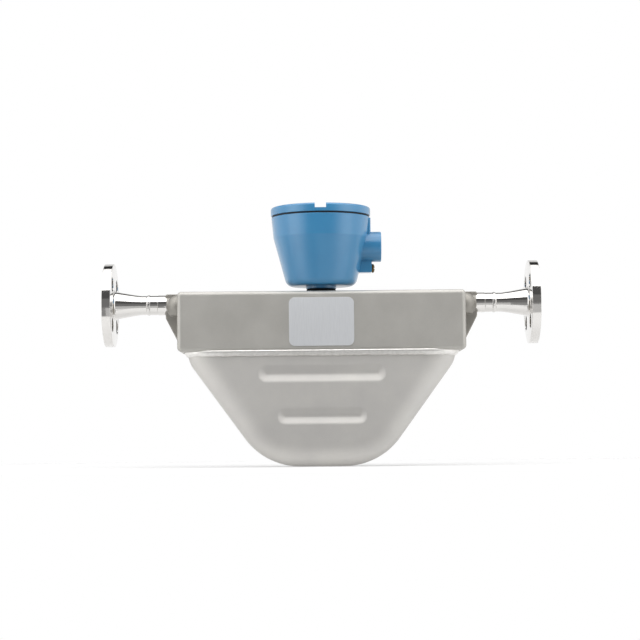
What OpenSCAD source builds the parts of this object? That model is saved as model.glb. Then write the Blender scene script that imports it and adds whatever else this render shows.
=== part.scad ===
// Flanged dual-tube Coriolis flow meter.
// X runs along the flow line from the inlet face, Y is the depth and Z is up.
// The origin is the centre of the inlet flange's raised face.

/* [Flow line] */
// Length from each flange's raised face to the end wall of the upper case
run_out = 80.1; // [76:0.1:105]
// Outer diameter of a flange
flange_od = 88.9; // [85:0.1:110]
// Thickness of a flange with its raised face
flange_t = 11.2; // [9.5:0.1:16]
// Diameter of the raised face
face_d = 34.9; // [32:0.1:40]
// Height of the raised face
face_h = 1.6; // [1:0.1:2.4]
// Diameter of the bolt circle
bolt_circle = 60.3; // [56:0.1:66]
// Diameter of a bolt hole
bolt_hole_d = 15.9; // [12:0.1:17]
// Number of bolt holes
bolt_count = 4; // [4:4:8]
// Diameter of the flow bore
bore_d = 15.8; // [12:0.1:17]
// Length through the hub, raised face to weld
hub_len = 47.8; // [44:0.1:52]
// Diameter of the hub at the flange
hub_base_d = 30.2; // [26:0.1:34]
// Diameter of the hub at its middle, where the taper eases
hub_mid_d = 23; // [22.6:0.1:25]
// Diameter of the hub at the weld
hub_end_d = 20.4; // [19.4:0.1:22]
// Distance from the raised face to the easing of the taper
hub_mid_at = 31; // [26:0.5:34]
// Distance from the raised face to the end of the taper
hub_end_at = 40; // [37:0.5:42]
// Fillet between the hub and the back of the flange
hub_fillet = 3; // [1:0.5:4]
// Chamfer on the rim of a flange
rim_chamfer = 0.6; // [0.3:0.1:1]
// Width of the butt weld behind a hub
weld_w = 3; // [2:0.1:4]
// Height of the weld's crown over the hub
weld_crown = 0.7; // [0.4:0.1:1]

/* [Manifolds] */
// Diameter of the pipe stub on a manifold
stub_d = 21.3; // [20.8:0.1:23]
// Diameter of the stub where it is turned down for the weld
stub_prep_d = 20.7; // [19.8:0.1:20.8]
// Length of the turned-down part
stub_prep_l = 8.5; // [6:0.5:10]
// Reach of the web beyond the end of the upper case
web_reach = 13.8; // [12:0.1:17]
// Thickness of the web
web_t = 16; // [14:0.5:20]
// Rounding of the web's edges
web_r = 3; // [2:0.5:4]
// Height of the web's top over the flow axis
web_top = 11.3; // [10.8:0.1:12]
// Depth of the web's outer edge below the flow axis
web_outer = 14.6; // [11:0.1:18]
// Depth of the web's foot below the flow axis, at the case
web_foot = 41.5; // [36:0.5:46]
// Radius of a branch dome
dome_r = 15; // [13:0.1:15.5]
// Depth of the dome's centre below the flow axis
dome_drop = 5; // [2:0.1:7]
// Depth of the dome's flat underside below the flow axis
dome_floor = 12.4; // [9:0.1:14]
// Half height of the spigot inside the case
spigot_r = 7.2; // [6.4:0.1:7.3]
// Length of the spigot inside the case wall
spigot_l = 7; // [5:0.5:9]
// Diameter of a branch passage
branch_d = 8; // [6:0.1:8.2]

/* [Upper case] */
// Length of the upper case
case_l = 304.8; // [298:0.1:320]
// Depth of the upper case, front to back
case_w = 70; // [68:0.5:76]
// Height of the upper case
case_h = 63.5; // [60:0.5:70]
// Height of its top over the flow axis
case_top = 12; // [11.8:0.1:14]
// Wall of the upper case
case_wall = 3; // [2:0.1:3.2]
// Rounding of its edges
case_edge_r = 4.5; // [4:0.1:6]

/* [Lower case] */
// Length of the lower case where it meets the upper case
pan_l = 284; // [272:0.5:288]
// Depth of the lower case, front to back
pan_w = 62; // [58:0.5:63]
// Height of the lower case
pan_h = 121.5; // [112:0.5:130]
// Length of its flat bottom
pan_flat = 48; // [36:0.5:60]
// Radius of the large bottom corners
heel_r = 72; // [60:0.5:80]
// Radius of the upper corners, where the sides turn inwards
hip_r = 30; // [29:0.5:34]
// Width of the soft shoulder round the flat panel
shoulder_w = 27; // [22:0.5:28]
// Depth of the soft shoulder behind the flat panel
shoulder_d = 17; // [12:0.5:20]
// Sheet thickness of the half shells
pan_wall = 2.5; // [1.5:0.1:3]
// Depth of the pressed grooves
groove_depth = 3.5; // [2:0.1:4.5]
// Length of the upper groove
upper_groove_l = 134; // [110:0.5:150]
// Height of the upper groove
upper_groove_h = 16.5; // [14:0.5:19]
// Distance of the upper groove below the upper case
upper_groove_at = 23.7; // [20:0.1:30]
// Length of the lower groove
lower_groove_l = 93.5; // [80:0.5:104]
// Height of the lower groove
lower_groove_h = 15.4; // [12:0.1:18]
// Distance of the lower groove below the upper case
lower_groove_at = 68.7; // [60:0.1:74]
// Leg of the fillet weld under the upper case
fillet_leg = 5; // [4:0.1:6]
// Width of the seam weld between the half shells
seam_w = 6; // [4:0.5:8]
// Height of the seam weld over the shells
seam_h = 0.6; // [0.3:0.1:0.8]

/* [Label plate] */
// Length of the bare label plate
label_l = 68.5; // [56:0.5:80]
// Height of the label plate
label_h = 51.2; // [40:0.1:53]
// Corner radius of the label plate
label_r = 6.3; // [3:0.1:8]
// Thickness of the label plate
label_t = 0.8; // [0.5:0.1:1.5]
// Distance of its centre below the middle of the upper case
label_drop = 1.2; // [0:0.1:2]

/* [Neck] */
// Height of the gap between the upper case and the housing
neck_gap = 6.7; // [5:0.1:9]
// Height of the dark adapter below the housing's collar
adapter_h = 3.9; // [3:0.1:4.5]
// Diameter of the adapter on the case
adapter_d = 33.4; // [31:0.1:36]
// Diameter of the adapter under the collar
adapter_top_d = 30.4; // [29:0.1:31.5]
// Bore through the adapter
adapter_bore_d = 16; // [13:0.1:17]
// Diameter of the adapter's spigot in the case
case_spigot_d = 24; // [22:0.1:25]
// Length of the case spigot below the top wall
case_spigot_l = 3; // [1.5:0.1:4]
// Diameter of the adapter's spigot in the housing
housing_spigot_d = 22; // [20:0.1:24]
// Diameter of the housing's collar
collar_d = 32.4; // [30:0.1:35]
// Number of pins in the sealed feedthrough
pin_count = 9; // [5:1:11]

/* [Housing] */
// Height of the housing body, underside to joint
body_h = 73.8; // [71:0.1:80]
// Height of the steep band at its top
band_h = 21.9; // [18:0.1:24]
// Outer diameter of the body at the joint
body_top_d = 105.6; // [105:0.1:108]
// Setback of the steep band's foot from the joint
band_setback = 2.1; // [1.4:0.1:2.8]
// Diameter that the cone would have at the underside
body_base_d = 73.5; // [72:0.1:78]
// Rounding between the cone and the underside
body_heel_r = 8.5; // [6:0.1:10]
// Wall of the housing
body_wall = 5; // [4.5:0.1:5.4]
// Wall of the threaded rim
rim_wall = 5.8; // [5.2:0.1:6.6]
// Depth of the threaded rim
thread_depth = 13.5; // [12.5:0.1:15]
// Diameter of the conduit boss
boss_d = 32.5; // [30:0.1:34]
// Reach of the conduit boss beyond the joint
boss_stand = 11.8; // [7:0.1:16]
// Height of the boss's axis over the underside
boss_at = 42; // [40:0.1:44]
// Diameter of the conduit thread
conduit_d = 18.6; // [16:0.1:20]
// Reach of the rib over the boss beyond the joint
rib_stand = 0.6; // [0.2:0.1:1.2]
// Width of that rib
rib_w = 20; // [14:0.5:24]
// Reach of the ground lug beyond the joint
lug_stand = 1.5; // [0:0.1:4]
// Width of the ground lug
lug_w = 13; // [11:0.1:16]
// Height of the lug's underside over the housing's underside
lug_low = 14.3; // [12:0.1:17]
// Height of the ground screw over the housing's underside
ground_at = 18.9; // [17:0.1:22]
// Diameter of the ground screw's shank
ground_shank_d = 4; // [3:0.1:5]
// Length of the ground screw's shank
ground_shank_l = 9; // [7:0.5:11]
// Diameter of the ground screw's head
ground_head_d = 9.4; // [8:0.1:10]
// Height of the ground screw's head
ground_head_h = 3.3; // [2.8:0.1:4]

/* [Cover] */
// Overhang of the cover over the joint
cover_lip = 0.55; // [0.3:0.05:1.2]
// Height of the cover's rim over the joint
cover_h = 8.8; // [8:0.1:11]
// Rounding of the cover's top edge
cover_edge_r = 2.4; // [1:0.1:3]
// Width of the raised rim
cover_rim_w = 8.35; // [6:0.05:11]
// Depth of the recess and of the tool notches
recess = 5.2; // [4.2:0.1:5.6]
// Width of a tool notch
notch_w = 11.8; // [8:0.1:14]
// Thickness of the cover's disc
disc_t = 5.4; // [4:0.1:6]
// Length of the threaded skirt
skirt_l = 12; // [9:0.1:12.2]
// Wall of the threaded skirt
skirt_wall = 4.5; // [3:0.1:5]
// Height of the seal in the joint
seal_h = 1.7; // [1.2:0.1:2.4]
// Setback of the seal from the joint's edge
seal_setback = 0.7; // [0.4:0.1:1.2]

/* [Electronics] */
// Diameter of the electronics module
module_d = 56; // [50:0.5:58]
// Height of the electronics module
module_h = 20; // [16:0.5:22]
// Height of the posts under the module
post_h = 11; // [8:0.5:12]
// Diameter of a post
post_d = 8; // [6.5:0.1:9]
// Distance of the posts from the axis
post_at = 22; // [21:0.5:23]
// Diameter of a module screw
module_screw_d = 3; // [2.5:0.1:4]
// Length of the terminal block
terminal_l = 34; // [28:0.5:36]
// Width of the terminal block
terminal_w = 14; // [10:0.5:16]
// Height of the terminal block
terminal_h = 10; // [8:0.5:12]
// Number of terminals
terminal_count = 4; // [2:1:5]

/* [Measuring tubes] */
// Outer diameter of a measuring tube
tube_d = 10; // [8:0.1:10.4]
// Wall of a measuring tube
tube_wall = 0.9; // [0.6:0.1:1.2]
// Distance between the two tubes
tube_gap = 26; // [24:0.5:28]
// Distance of the tubes inside the outline of the lower case
tube_inset = 22; // [19:0.5:24]
// Bend radius below the manifold
top_bend_r = 19; // [16:0.5:20]
// Bend radius of the hips
hip_bend_r = 38; // [30:0.5:40]
// Bend radius of the bottom corners
heel_bend_r = 58; // [45:0.5:64]
// Thickness of a brace plate
brace_t = 2; // [1:0.1:2.5]
// Distance between the two brace plates of a leg
brace_pitch = 10; // [9:0.5:12]
// Rim of a brace plate round a tube
brace_rim = 4; // [2.5:0.1:5]
// Distance of the upper brace plate below the bend
brace_margin = 2; // [1:0.5:4]
// Width of a saddle on a tube
saddle_w = 14; // [11:0.5:16]
// Thickness of a saddle
saddle_t = 3; // [2.5:0.1:3.5]
// Metal left between a saddle's flat and its tube
saddle_floor = 1.5; // [1:0.1:2]
// Diameter of a coil
coil_d = 16; // [13:0.5:17]
// Diameter of a magnet
magnet_d = 10; // [8:0.5:12]
// Air gap between a coil and its magnet
air_gap = 1.6; // [1:0.1:2]
// Place of the pickoffs along the sloping legs, 0 at the hip and 1 at the heel
pickoff_at = 0.45; // [0.3:0.01:0.55]
// Length of the temperature element
element_l = 6; // [4:0.5:7]
// Diameter of the temperature element
element_d = 3.2; // [2:0.1:4]
// Distance of the element below the upper brace plate
element_drop = 1; // [0.5:0.1:2]
// Diameter of an inner lead
lead_d = 1.2; // [0.8:0.1:2]
// Length of the board that the leads end on
board_l = 64; // [50:1:80]
// Width of that board
board_w = 20; // [16:0.5:24]
// Thickness of that board
board_t = 1.6; // [1:0.1:2.4]
// Distance of the pickoffs' leads from the ends of that board
lead_inset = 4; // [2.5:0.5:6]
// Distance of the temperature lead from the board's corner
corner_inset = 2; // [1.5:0.1:4]

/* [Fits] */
// Clearance of a spigot in its hole
spigot_play = 0.2; // [0.1:0.05:0.4]
// Radial clearance of the cover's thread
thread_play = 0.3; // [0.2:0.05:0.4]
// Radial clearance of a brazed tube in its socket or brace
braze_play = 0.05; // [0.03:0.01:0.1]
// Radial clearance of a screw in its hole
screw_play = 0.15; // [0.05:0.05:0.3]
// Radial clearance between the seal and the cover's thread
seal_play = 0.5; // [0.3:0.1:0.8]
// Gap left for the solder at the end of a lead
lead_play = 0.2; // [0.1:0.05:0.4]

/* [Hidden] */
$fn = 72;
// Facets round a full turn of the shapes that are hulled
soft_fn = 24;
// Straight steps along the hip and heel curves of the lower case
hip_steps = 4;
heel_steps = 9;
// Straight steps across the rounding of a web's edge
web_steps = 4;
// A cutter runs this far past the face that it cuts
past = 1;
// Thickness of the slices that a hull spans
slice = 0.1;

// Half width of a weld's crown, as a share of its root
crown_spread = 0.7;
// Corner cut of the opening between the cases, as a share of the shoulder's width
opening_cut = 0.6;
// Spread of the fillet weld along the upper case and its upright foot, as shares of its leg
fillet_spread = 0.64;
fillet_foot = 0.3;
// Width of the upper case's underside that the fillet weld leaves free
fillet_margin = 0.2;
// Drop of the rib over the conduit boss below the joint
rib_drop = 1.2;
// Posts that carry the electronics module
post_count = 3;

blasted = "#9d9a95";
polished = "#d2d1cf";
blue = "#4383ad";

// Sides of a swept tube
tube_sides = 12;

// Length between the raised faces, which move out with the ends of the case
face_to_face = case_l + 2 * run_out;
case_end = case_l / 2;
case_low = case_top - case_h;
pan_low = case_low - pan_h;
body_low = case_top + neck_gap;
joint_z = body_low + body_h;
cover_low = joint_z + seal_h;
cover_top = cover_low + cover_h;
disc_top = cover_top - recess;
// Round the joint, all diameters and reaches start from the diameter of the joint
band_low_d = body_top_d - 2 * band_setback;
thread_d = body_top_d - 2 * rim_wall;
boss_reach = body_top_d / 2 + boss_stand;
rib_reach = body_top_d / 2 + rib_stand;
lug_reach = body_top_d / 2 + lug_stand;
cover_d = body_top_d + 2 * cover_lip;
rim_inner_d = cover_d - 2 * cover_rim_w;
seal_d = body_top_d - 2 * seal_setback;
stub_end = face_to_face / 2 - hub_len - weld_w / 2;
// The lead board hangs under the adapter's spigot
board_top = case_top - case_wall - case_spigot_l;

// Centres of the two corner circles of the lower case, on the +X side
hip_c = [pan_l / 2 - hip_r, case_low];
heel_c = [pan_flat / 2, pan_low + heel_r];
// Angle of the sloping sides above the horizontal
slope = atan2(hip_c[1] - heel_c[1], hip_c[0] - heel_c[0])
    + asin((heel_r - hip_r) / norm(hip_c - heel_c));

// Half width of the sloping outline at height z, the outline moved in by i
function slope_x(z, i) = heel_c[0] + (heel_r - i + (z - heel_c[1]) * cos(slope)) / sin(slope);

// Height at which that sloping line reaches the half width x
function slope_z(x, i) = heel_c[1] + ((x - heel_c[0]) * sin(slope) - heel_r + i) / cos(slope);

// Inset of the half shell's outline at the share t of the shoulder: a quarter of an ellipse
function shoulder_inset(t) = shoulder_w * (1 - sqrt(1 - t * t));

// Points along an arc
function arc(centre, r, from, to, steps) =
    [for (k = [0 : steps])
        let (a = from + (to - from) * k / steps)
        centre + r * [cos(a), sin(a)]];

// Outline of the lower case on the +X side, moved in by i, from above the seat down to the flat
function half_outline(i) = concat(
    [[hip_c[0] + hip_r - i, case_low + past]],
    arc(hip_c, hip_r - i, 0, slope - 90, hip_steps),
    arc(heel_c, heel_r - i, slope - 90, -90, heel_steps)
);

function outline(i) =
    let (half = half_outline(i), last = len(half) - 1)
    concat(half, [for (k = [last : -1 : 0]) [-half[k][0], half[k][1]]]);

// Levels of the half shell, as [depth from the seam, inset of the outline]
shoulder_steps = 6;
land = seam_w / 2;
shell_levels = concat(
    [[0, 0], [land, 0]],
    [for (k = [1 : shoulder_steps])
        let (t = sin(90 * k / shoulder_steps))
        [pan_w / 2 - shoulder_d * (1 - t), shoulder_inset(t)]]
);

module from_mid() translate([face_to_face / 2, 0, 0]) children();

// Children are drawn at the inlet end, and mirrored for the outlet end
module at_end(outlet) from_mid() mirror([outlet ? 1 : 0, 0, 0]) children();

// A solid of revolution whose axis lies along X, from x on
module along_x(x) translate([x, 0, 0]) rotate([0, 90, 0]) children();

// ---- Flow line ----

module flange(outlet) at_end(outlet) along_x(-face_to_face / 2)
difference() {
    rotate_extrude() flange_profile();
    for (k = [0 : bolt_count - 1])
        rotate([0, 0, 360 / bolt_count * (k + 0.5)])
            translate([bolt_circle / 2, 0, -past])
                cylinder(d = bolt_hole_d, h = flange_t + 2 * past);
}

module flange_profile() difference() {
    union() {
        polygon([
            [bore_d / 2, 0],
            [face_d / 2, 0],
            [face_d / 2, face_h],
            [flange_od / 2 - rim_chamfer, face_h],
            [flange_od / 2, face_h + rim_chamfer],
            [flange_od / 2, flange_t - rim_chamfer],
            [flange_od / 2 - rim_chamfer, flange_t],
            [hub_base_d / 2, flange_t],
            [hub_mid_d / 2, hub_mid_at],
            [hub_end_d / 2, hub_end_at],
            [hub_end_d / 2, hub_len - weld_w / 2],
            [bore_d / 2, hub_len - weld_w / 2]
        ]);
        translate([hub_base_d / 2 - hub_fillet, flange_t])
            square([2 * hub_fillet, hub_fillet]);
    }
    translate([hub_base_d / 2 + hub_fillet, flange_t + hub_fillet]) circle(hub_fillet);
}

module inlet_flange() color(polished) flange(false);

module outlet_flange() color(polished) flange(true);

module flange_welds() color(polished)
for (outlet = [false, true])
    at_end(outlet) along_x(hub_len - face_to_face / 2)
        rotate_extrude() weld_profile();

module weld_profile() {
    surface_r = max(hub_end_d, stub_prep_d) / 2;
    translate([bore_d / 2, -weld_w / 2])
        square([surface_r - bore_d / 2, weld_w]);
    crown_half = weld_w * crown_spread;
    crown_r = (pow(crown_half, 2) + pow(weld_crown, 2)) / (2 * weld_crown);
    intersection() {
        translate([surface_r + weld_crown - crown_r, 0]) circle(crown_r);
        translate([surface_r, -weld_w]) square([weld_w, 2 * weld_w]);
    }
}

// ---- Manifolds ----

module manifold(outlet) at_end(outlet) difference() {
    union() {
        along_x(-stub_end) cylinder(d = stub_prep_d, h = stub_prep_l + past);
        along_x(stub_prep_l - stub_end)
            cylinder(d = stub_d, h = stub_end - stub_prep_l - case_end - past);
        web();
        for (side = [-1, 1]) branch_dome(side);
        translate([-case_end - past, 0, 0]) spigot(0, past + case_wall + spigot_l);
    }
    along_x(-stub_end - past)
        cylinder(d = bore_d, h = stub_end - case_end - web_reach / 2 + past);
    for (side = [-1, 1]) {
        branch_passage(side);
        translate([-case_end + case_wall, side * tube_gap / 2, 0]) rotate([0, 90, 0])
            cylinder(d = tube_d + 2 * braze_play, h = spigot_l + past);
    }
}

// Lower edge of the web at x, its outline moved in by i
function web_low(x, i) =
    let (rise = web_foot - web_outer, run = web_reach)
    i * norm([rise, run]) / run - web_outer - (x + case_end + web_reach) * rise / run;

function web_outline(i) =
    let (outer = -case_end - web_reach + i, top = web_top - i)
    [[outer, top], [outer, web_low(outer, i)], [-case_end, web_low(-case_end, i)], [-case_end, top]];

// The cast web: a plate with rounded edges, its lower edge sloping back to the case
module web() rotate([90, 0, 0]) hull()
    for (side = [-1, 1])
        for (k = [0 : web_steps])
            let (a = 90 * k / web_steps, level = web_t / 2 - web_r * (1 - sin(a)) - slice / 2)
            translate([0, 0, side * level - slice / 2])
                linear_extrude(slice) polygon(web_outline(web_r * (1 - cos(a))));

module branch_dome(side) intersection() {
    translate([-case_end, side * tube_gap / 2, -dome_drop]) sphere(dome_r);
    translate([-case_end - 2 * dome_r, side * tube_gap / 2 - dome_r, -dome_floor])
        cube([2 * dome_r, 2 * dome_r, 2 * dome_r]);
}

// Passage from the end of the flow bore to the socket of one tube
module branch_passage(side) {
    start = [-case_end - web_reach / 2 - past, 0, 0];
    end = [-case_end + case_wall, side * tube_gap / 2, 0];
    run = end - start;
    translate(start) rotate([0, 90, atan2(run[1], run[0])])
        cylinder(d = branch_d, h = norm(run));
}

// The part of the manifold that passes through the wall of the case
module spigot(play, length) {
    r = spigot_r + play;
    for (side = [-1, 1])
        translate([0, side * tube_gap / 2, 0]) rotate([0, 90, 0]) cylinder(r = r, h = length);
    translate([0, -tube_gap / 2, -r]) cube([length, tube_gap, 2 * r]);
}

module inlet_manifold() color(blasted) manifold(false);

module outlet_manifold() color(blasted) manifold(true);

// ---- Cases ----

// The rounded block of the upper case, moved in by a wall
module case_block(wall) {
    r = case_edge_r - wall;
    hull() for (x = [-1, 1])
        for (y = [-1, 1])
            for (z = [case_low + wall + r, case_top - wall - r])
                translate([x * (case_end - wall - r), y * (case_w / 2 - wall - r), z])
                    sphere(r, $fn = soft_fn);
}

module upper_case() color(blasted) from_mid() difference() {
    case_block(0);
    case_block(case_wall);
    translate([0, 0, case_low - past]) linear_extrude(case_wall + 2 * past)
        polygon(opening_points());
    translate([0, 0, case_top - case_wall - past])
        cylinder(d = case_spigot_d + 2 * spigot_play, h = case_wall + 2 * past);
    for (outlet = [0, 1])
        mirror([outlet, 0, 0]) translate([-case_end - past, 0, 0])
            spigot(spigot_play, case_wall + 2 * past);
}

// Opening between the two cases: the inside of the lower case, kept off its rounded corners
function opening_points() =
    let (x = pan_l / 2 - pan_wall, y = pan_w / 2 - pan_wall, c = shoulder_w * opening_cut)
    [[c - x, -y], [x - c, -y], [x, c - y], [x, y - c],
     [x - c, y], [c - x, y], [-x, y - c], [-x, c - y]];

// One half of the lower case as a solid, front half towards -Y, moved in by a wall
module pan_block(wall) rotate([90, 0, 0]) hull()
    for (level = shell_levels)
        translate([0, 0, max(level[0] * (1 - 2 * wall / pan_w) - slice, 0)])
            linear_extrude(slice) polygon(outline(level[1] * (1 - wall / hip_r) + wall));

// The bar that presses a groove into a half shell: a circular section with round ends
module groove_bar(length, height, at, grow) {
    r = (pow(height / 2, 2) + pow(groove_depth, 2)) / (2 * groove_depth);
    half = length / 2 - height / 2;
    translate([-half, groove_depth - pan_w / 2 - r, case_low - at]) rotate([0, 90, 0])
        rotate_extrude() difference() {
            union() {
                square([r + grow, 2 * half]);
                circle(r + grow);
                translate([0, 2 * half]) circle(r + grow);
            }
            translate([-2 * r - 2 * grow, -2 * r - 2 * grow])
                square([2 * r + 2 * grow, 2 * half + 4 * r + 4 * grow]);
        }
}

module groove_bars(grow) {
    groove_bar(upper_groove_l, upper_groove_h, upper_groove_at, grow);
    groove_bar(lower_groove_l, lower_groove_h, lower_groove_at, grow);
}

module half_shell() difference() {
    pan_block(0);
    difference() {
        pan_block(pan_wall);
        groove_bars(pan_wall);
    }
    groove_bars(0);
    translate([-pan_l, -pan_w, case_low]) cube([2 * pan_l, 2 * pan_w, 2 * past]);
}

module lower_case_front() color(blasted) from_mid() half_shell();

module lower_case_rear() color(blasted) from_mid() mirror([0, 1, 0]) half_shell();

// Plan of the lower case where it meets the upper case, grown by a margin
function plan_half(grow) = [for (level = shell_levels) [pan_l / 2 - level[1] + grow, level[0] + grow]];

module plan_slice(grow, z) translate([0, 0, z])
    for (x = [0, 1])
        for (y = [0, 1])
            mirror([x, 0, 0]) mirror([0, y, 0])
                linear_extrude(slice)
                    polygon(concat([[0, 0], [pan_l / 2 + grow, 0]], plan_half(grow),
                                   [[0, pan_w / 2 + grow]]));

module case_weld() color(polished) from_mid() {
    reach = min(fillet_leg * fillet_spread, (case_w - pan_w) / 2 - fillet_margin);
    difference() {
        hull() {
            plan_slice(reach, case_low - slice);
            plan_slice(reach, case_low - fillet_leg * fillet_foot);
            plan_slice(slice, case_low - fillet_leg);
        }
        for (y = [0, 1]) mirror([0, y, 0]) pan_block(0);
    }
}

// The bead runs round the edge of the shells, from one fillet weld to the other
module case_seam_weld() color(polished) from_mid() difference() {
    rotate([90, 0, 0]) translate([0, 0, -land]) linear_extrude(2 * land) difference() {
        polygon(outline(-seam_h));
        polygon(outline(0));
    }
    translate([-pan_l, -pan_w, case_low - fillet_leg]) cube([2 * pan_l, 2 * pan_w, 2 * fillet_leg]);
}

// ---- Label plate ----

module label_plate() color("silver") from_mid()
    translate([0, -case_w / 2, case_top - case_h / 2 - label_drop]) rotate([90, 0, 0])
        linear_extrude(label_t) {
            square([label_l - 2 * label_r, label_h], center = true);
            square([label_l, label_h - 2 * label_r], center = true);
            for (x = [-1, 1])
                for (y = [-1, 1])
                    translate([x * (label_l / 2 - label_r), y * (label_h / 2 - label_r)])
                        circle(label_r);
        }

// ---- Neck ----

module neck_adapter() color("#2b2b2b") from_mid() rotate_extrude() polygon([
    [adapter_bore_d / 2, case_top - case_wall - case_spigot_l],
    [case_spigot_d / 2, case_top - case_wall - case_spigot_l],
    [case_spigot_d / 2, case_top],
    [adapter_d / 2, case_top],
    [adapter_top_d / 2, case_top + adapter_h],
    [housing_spigot_d / 2, case_top + adapter_h],
    [housing_spigot_d / 2, body_low + body_wall],
    [adapter_bore_d / 2, body_low + body_wall]
]);

// A glass-to-metal disc with its pins, sealed in the adapter's bore
module feedthrough() color("#c9b037") from_mid() {
    disc_h = 5;
    disc_lift = 2;
    pin_d = 1;
    pin_l = 11;
    pin_ring = adapter_bore_d / 4;
    translate([0, 0, board_top + disc_lift])
        cylinder(d = adapter_bore_d - 2 * braze_play, h = disc_h);
    for (k = [1 : pin_count])
        rotate([0, 0, 360 / pin_count * k]) translate([pin_ring, 0, board_top])
            cylinder(d = pin_d, h = pin_l);
}

// ---- Housing ----

cone_rise = body_h - band_h;
cone_lean = atan2((band_low_d - body_base_d) / 2, cone_rise);
heel_run = body_heel_r * tan(45 - cone_lean / 2);

module housing_profile() {
    base_r = body_base_d / 2;
    polygon([
        [0, body_low],
        [base_r - heel_run, body_low],
        [base_r + heel_run * sin(cone_lean), body_low + heel_run * cos(cone_lean)],
        [band_low_d / 2, joint_z - band_h],
        [body_top_d / 2, joint_z],
        [0, joint_z]
    ]);
    translate([base_r - heel_run, body_low + body_heel_r]) intersection() {
        circle(body_heel_r);
        translate([0, -body_heel_r]) square(2 * body_heel_r);
    }
}

module cavity_profile() {
    floor_z = body_low + body_wall;
    low_r = body_base_d / 2 + body_wall * tan(cone_lean) - body_wall;
    band_r = band_low_d / 2 - body_wall;
    top_r = body_top_d / 2 - body_wall;
    thread_z = joint_z - thread_depth;
    polygon([
        [0, floor_z],
        [low_r, floor_z],
        [band_r, joint_z - band_h],
        [min(band_r + (top_r - band_r) * (band_h - thread_depth) / band_h, thread_d / 2), thread_z],
        [thread_d / 2, thread_z],
        [thread_d / 2, joint_z + past],
        [0, joint_z + past]
    ]);
}

module housing_body() color(blue) from_mid() difference() {
    union() {
        difference() {
            union() {
                rotate_extrude() housing_profile();
                translate([0, 0, body_low + boss_at]) rotate([0, 90, 0])
                    cylinder(d = boss_d, h = boss_reach);
                translate([0, -rib_w / 2, body_low + boss_at])
                    cube([rib_reach, rib_w, body_h - boss_at - rib_drop]);
                translate([0, -lug_w / 2, body_low + lug_low])
                    cube([lug_reach, lug_w, boss_at - lug_low]);
                translate([0, 0, case_top + adapter_h])
                    cylinder(d = collar_d, h = neck_gap - adapter_h + past);
            }
            rotate_extrude() cavity_profile();
        }
        at_posts(body_low + body_wall - past) cylinder(d = post_d, h = post_h + past);
    }
    translate([0, 0, body_low + boss_at]) rotate([0, 90, 0])
        cylinder(d = conduit_d, h = boss_reach + past);
    translate([0, 0, case_top])
        cylinder(d = housing_spigot_d + 2 * spigot_play, h = neck_gap + body_wall + past);
    translate([lug_reach - ground_shank_l - past, 0, body_low + ground_at]) rotate([0, 90, 0])
        cylinder(d = ground_shank_d + 2 * screw_play, h = ground_shank_l + 2 * past);
    at_posts(body_low + body_wall)
        cylinder(d = module_screw_d + 2 * screw_play, h = post_h + past);
}

// Children stand on the axis of each post at height z
module at_posts(z)
    for (k = [0 : post_count - 1])
        rotate([0, 0, 360 / post_count * (k + 0.5)]) translate([post_at, 0, z]) children();

module ground_screw() color("#6b5a34") from_mid()
    translate([lug_reach, 0, body_low + ground_at]) rotate([0, 90, 0]) {
        crown_r = ground_head_d * 0.62;
        slot_w = 1.2;
        slot_depth = 1.2;
        difference() {
            union() {
                intersection() {
                    cylinder(d = ground_head_d, h = ground_head_h);
                    translate([0, 0, ground_head_h - crown_r]) sphere(crown_r);
                }
                translate([0, 0, -ground_shank_l])
                    cylinder(d = ground_shank_d, h = ground_shank_l + slot_depth);
            }
            translate([-ground_head_d, -slot_w / 2, ground_head_h - slot_depth])
                cube([2 * ground_head_d, slot_w, slot_depth + past]);
        }
    }

// ---- Cover ----

module housing_cover() color(blue) from_mid() difference() {
    rotate_extrude() cover_profile();
    for (side = [-1, 1])
        translate([-notch_w / 2, side * cover_d / 2 - cover_d / 4, disc_top])
            cube([notch_w, cover_d / 2, recess + past]);
}

module cover_profile() {
    r = cover_d / 2;
    skirt_r = thread_d / 2 - thread_play;
    difference() {
        union() {
            translate([0, cover_low]) square([r - cover_edge_r, cover_h]);
            translate([0, cover_low]) square([r, cover_h - cover_edge_r]);
            translate([r - cover_edge_r, cover_top - cover_edge_r]) circle(cover_edge_r);
            translate([0, cover_low - skirt_l]) square([skirt_r, skirt_l]);
        }
        translate([0, disc_top]) square([rim_inner_d / 2, recess + past]);
        translate([0, cover_low - skirt_l - past])
            square([skirt_r - skirt_wall, skirt_l + past + cover_h - recess - disc_t]);
        translate([-cover_edge_r - past, cover_low]) square([cover_edge_r + past, cover_h]);
    }
}

module cover_seal() color("#141414") from_mid() {
    inner_r = thread_d / 2 + seal_play;
    rotate_extrude() translate([inner_r, joint_z]) square([seal_d / 2 - inner_r, seal_h]);
}

// ---- Electronics ----

module_z = body_low + body_wall + post_h;

module core_module() color("#22262b") from_mid() difference() {
    edge = 1.5;
    translate([0, 0, module_z]) {
        cylinder(d = module_d, h = module_h - edge);
        cylinder(d = module_d - 2 * edge, h = module_h);
    }
    at_posts(module_z - past)
        cylinder(d = module_screw_d + 2 * screw_play, h = module_h + 2 * past);
}

module module_screws() color("silver") from_mid() at_posts(module_z + module_h) {
    shank_l = module_h + post_h / 2;
    head_h = 2;
    slot_w = 0.8;
    slot_depth = 1;
    difference() {
        union() {
            translate([0, 0, -shank_l]) cylinder(d = module_screw_d, h = shank_l);
            cylinder(d = 2 * module_screw_d, h = head_h);
        }
        translate([-module_screw_d, -slot_w / 2, head_h - slot_depth])
            cube([2 * module_screw_d, slot_w, slot_depth + past]);
    }
}

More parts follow.
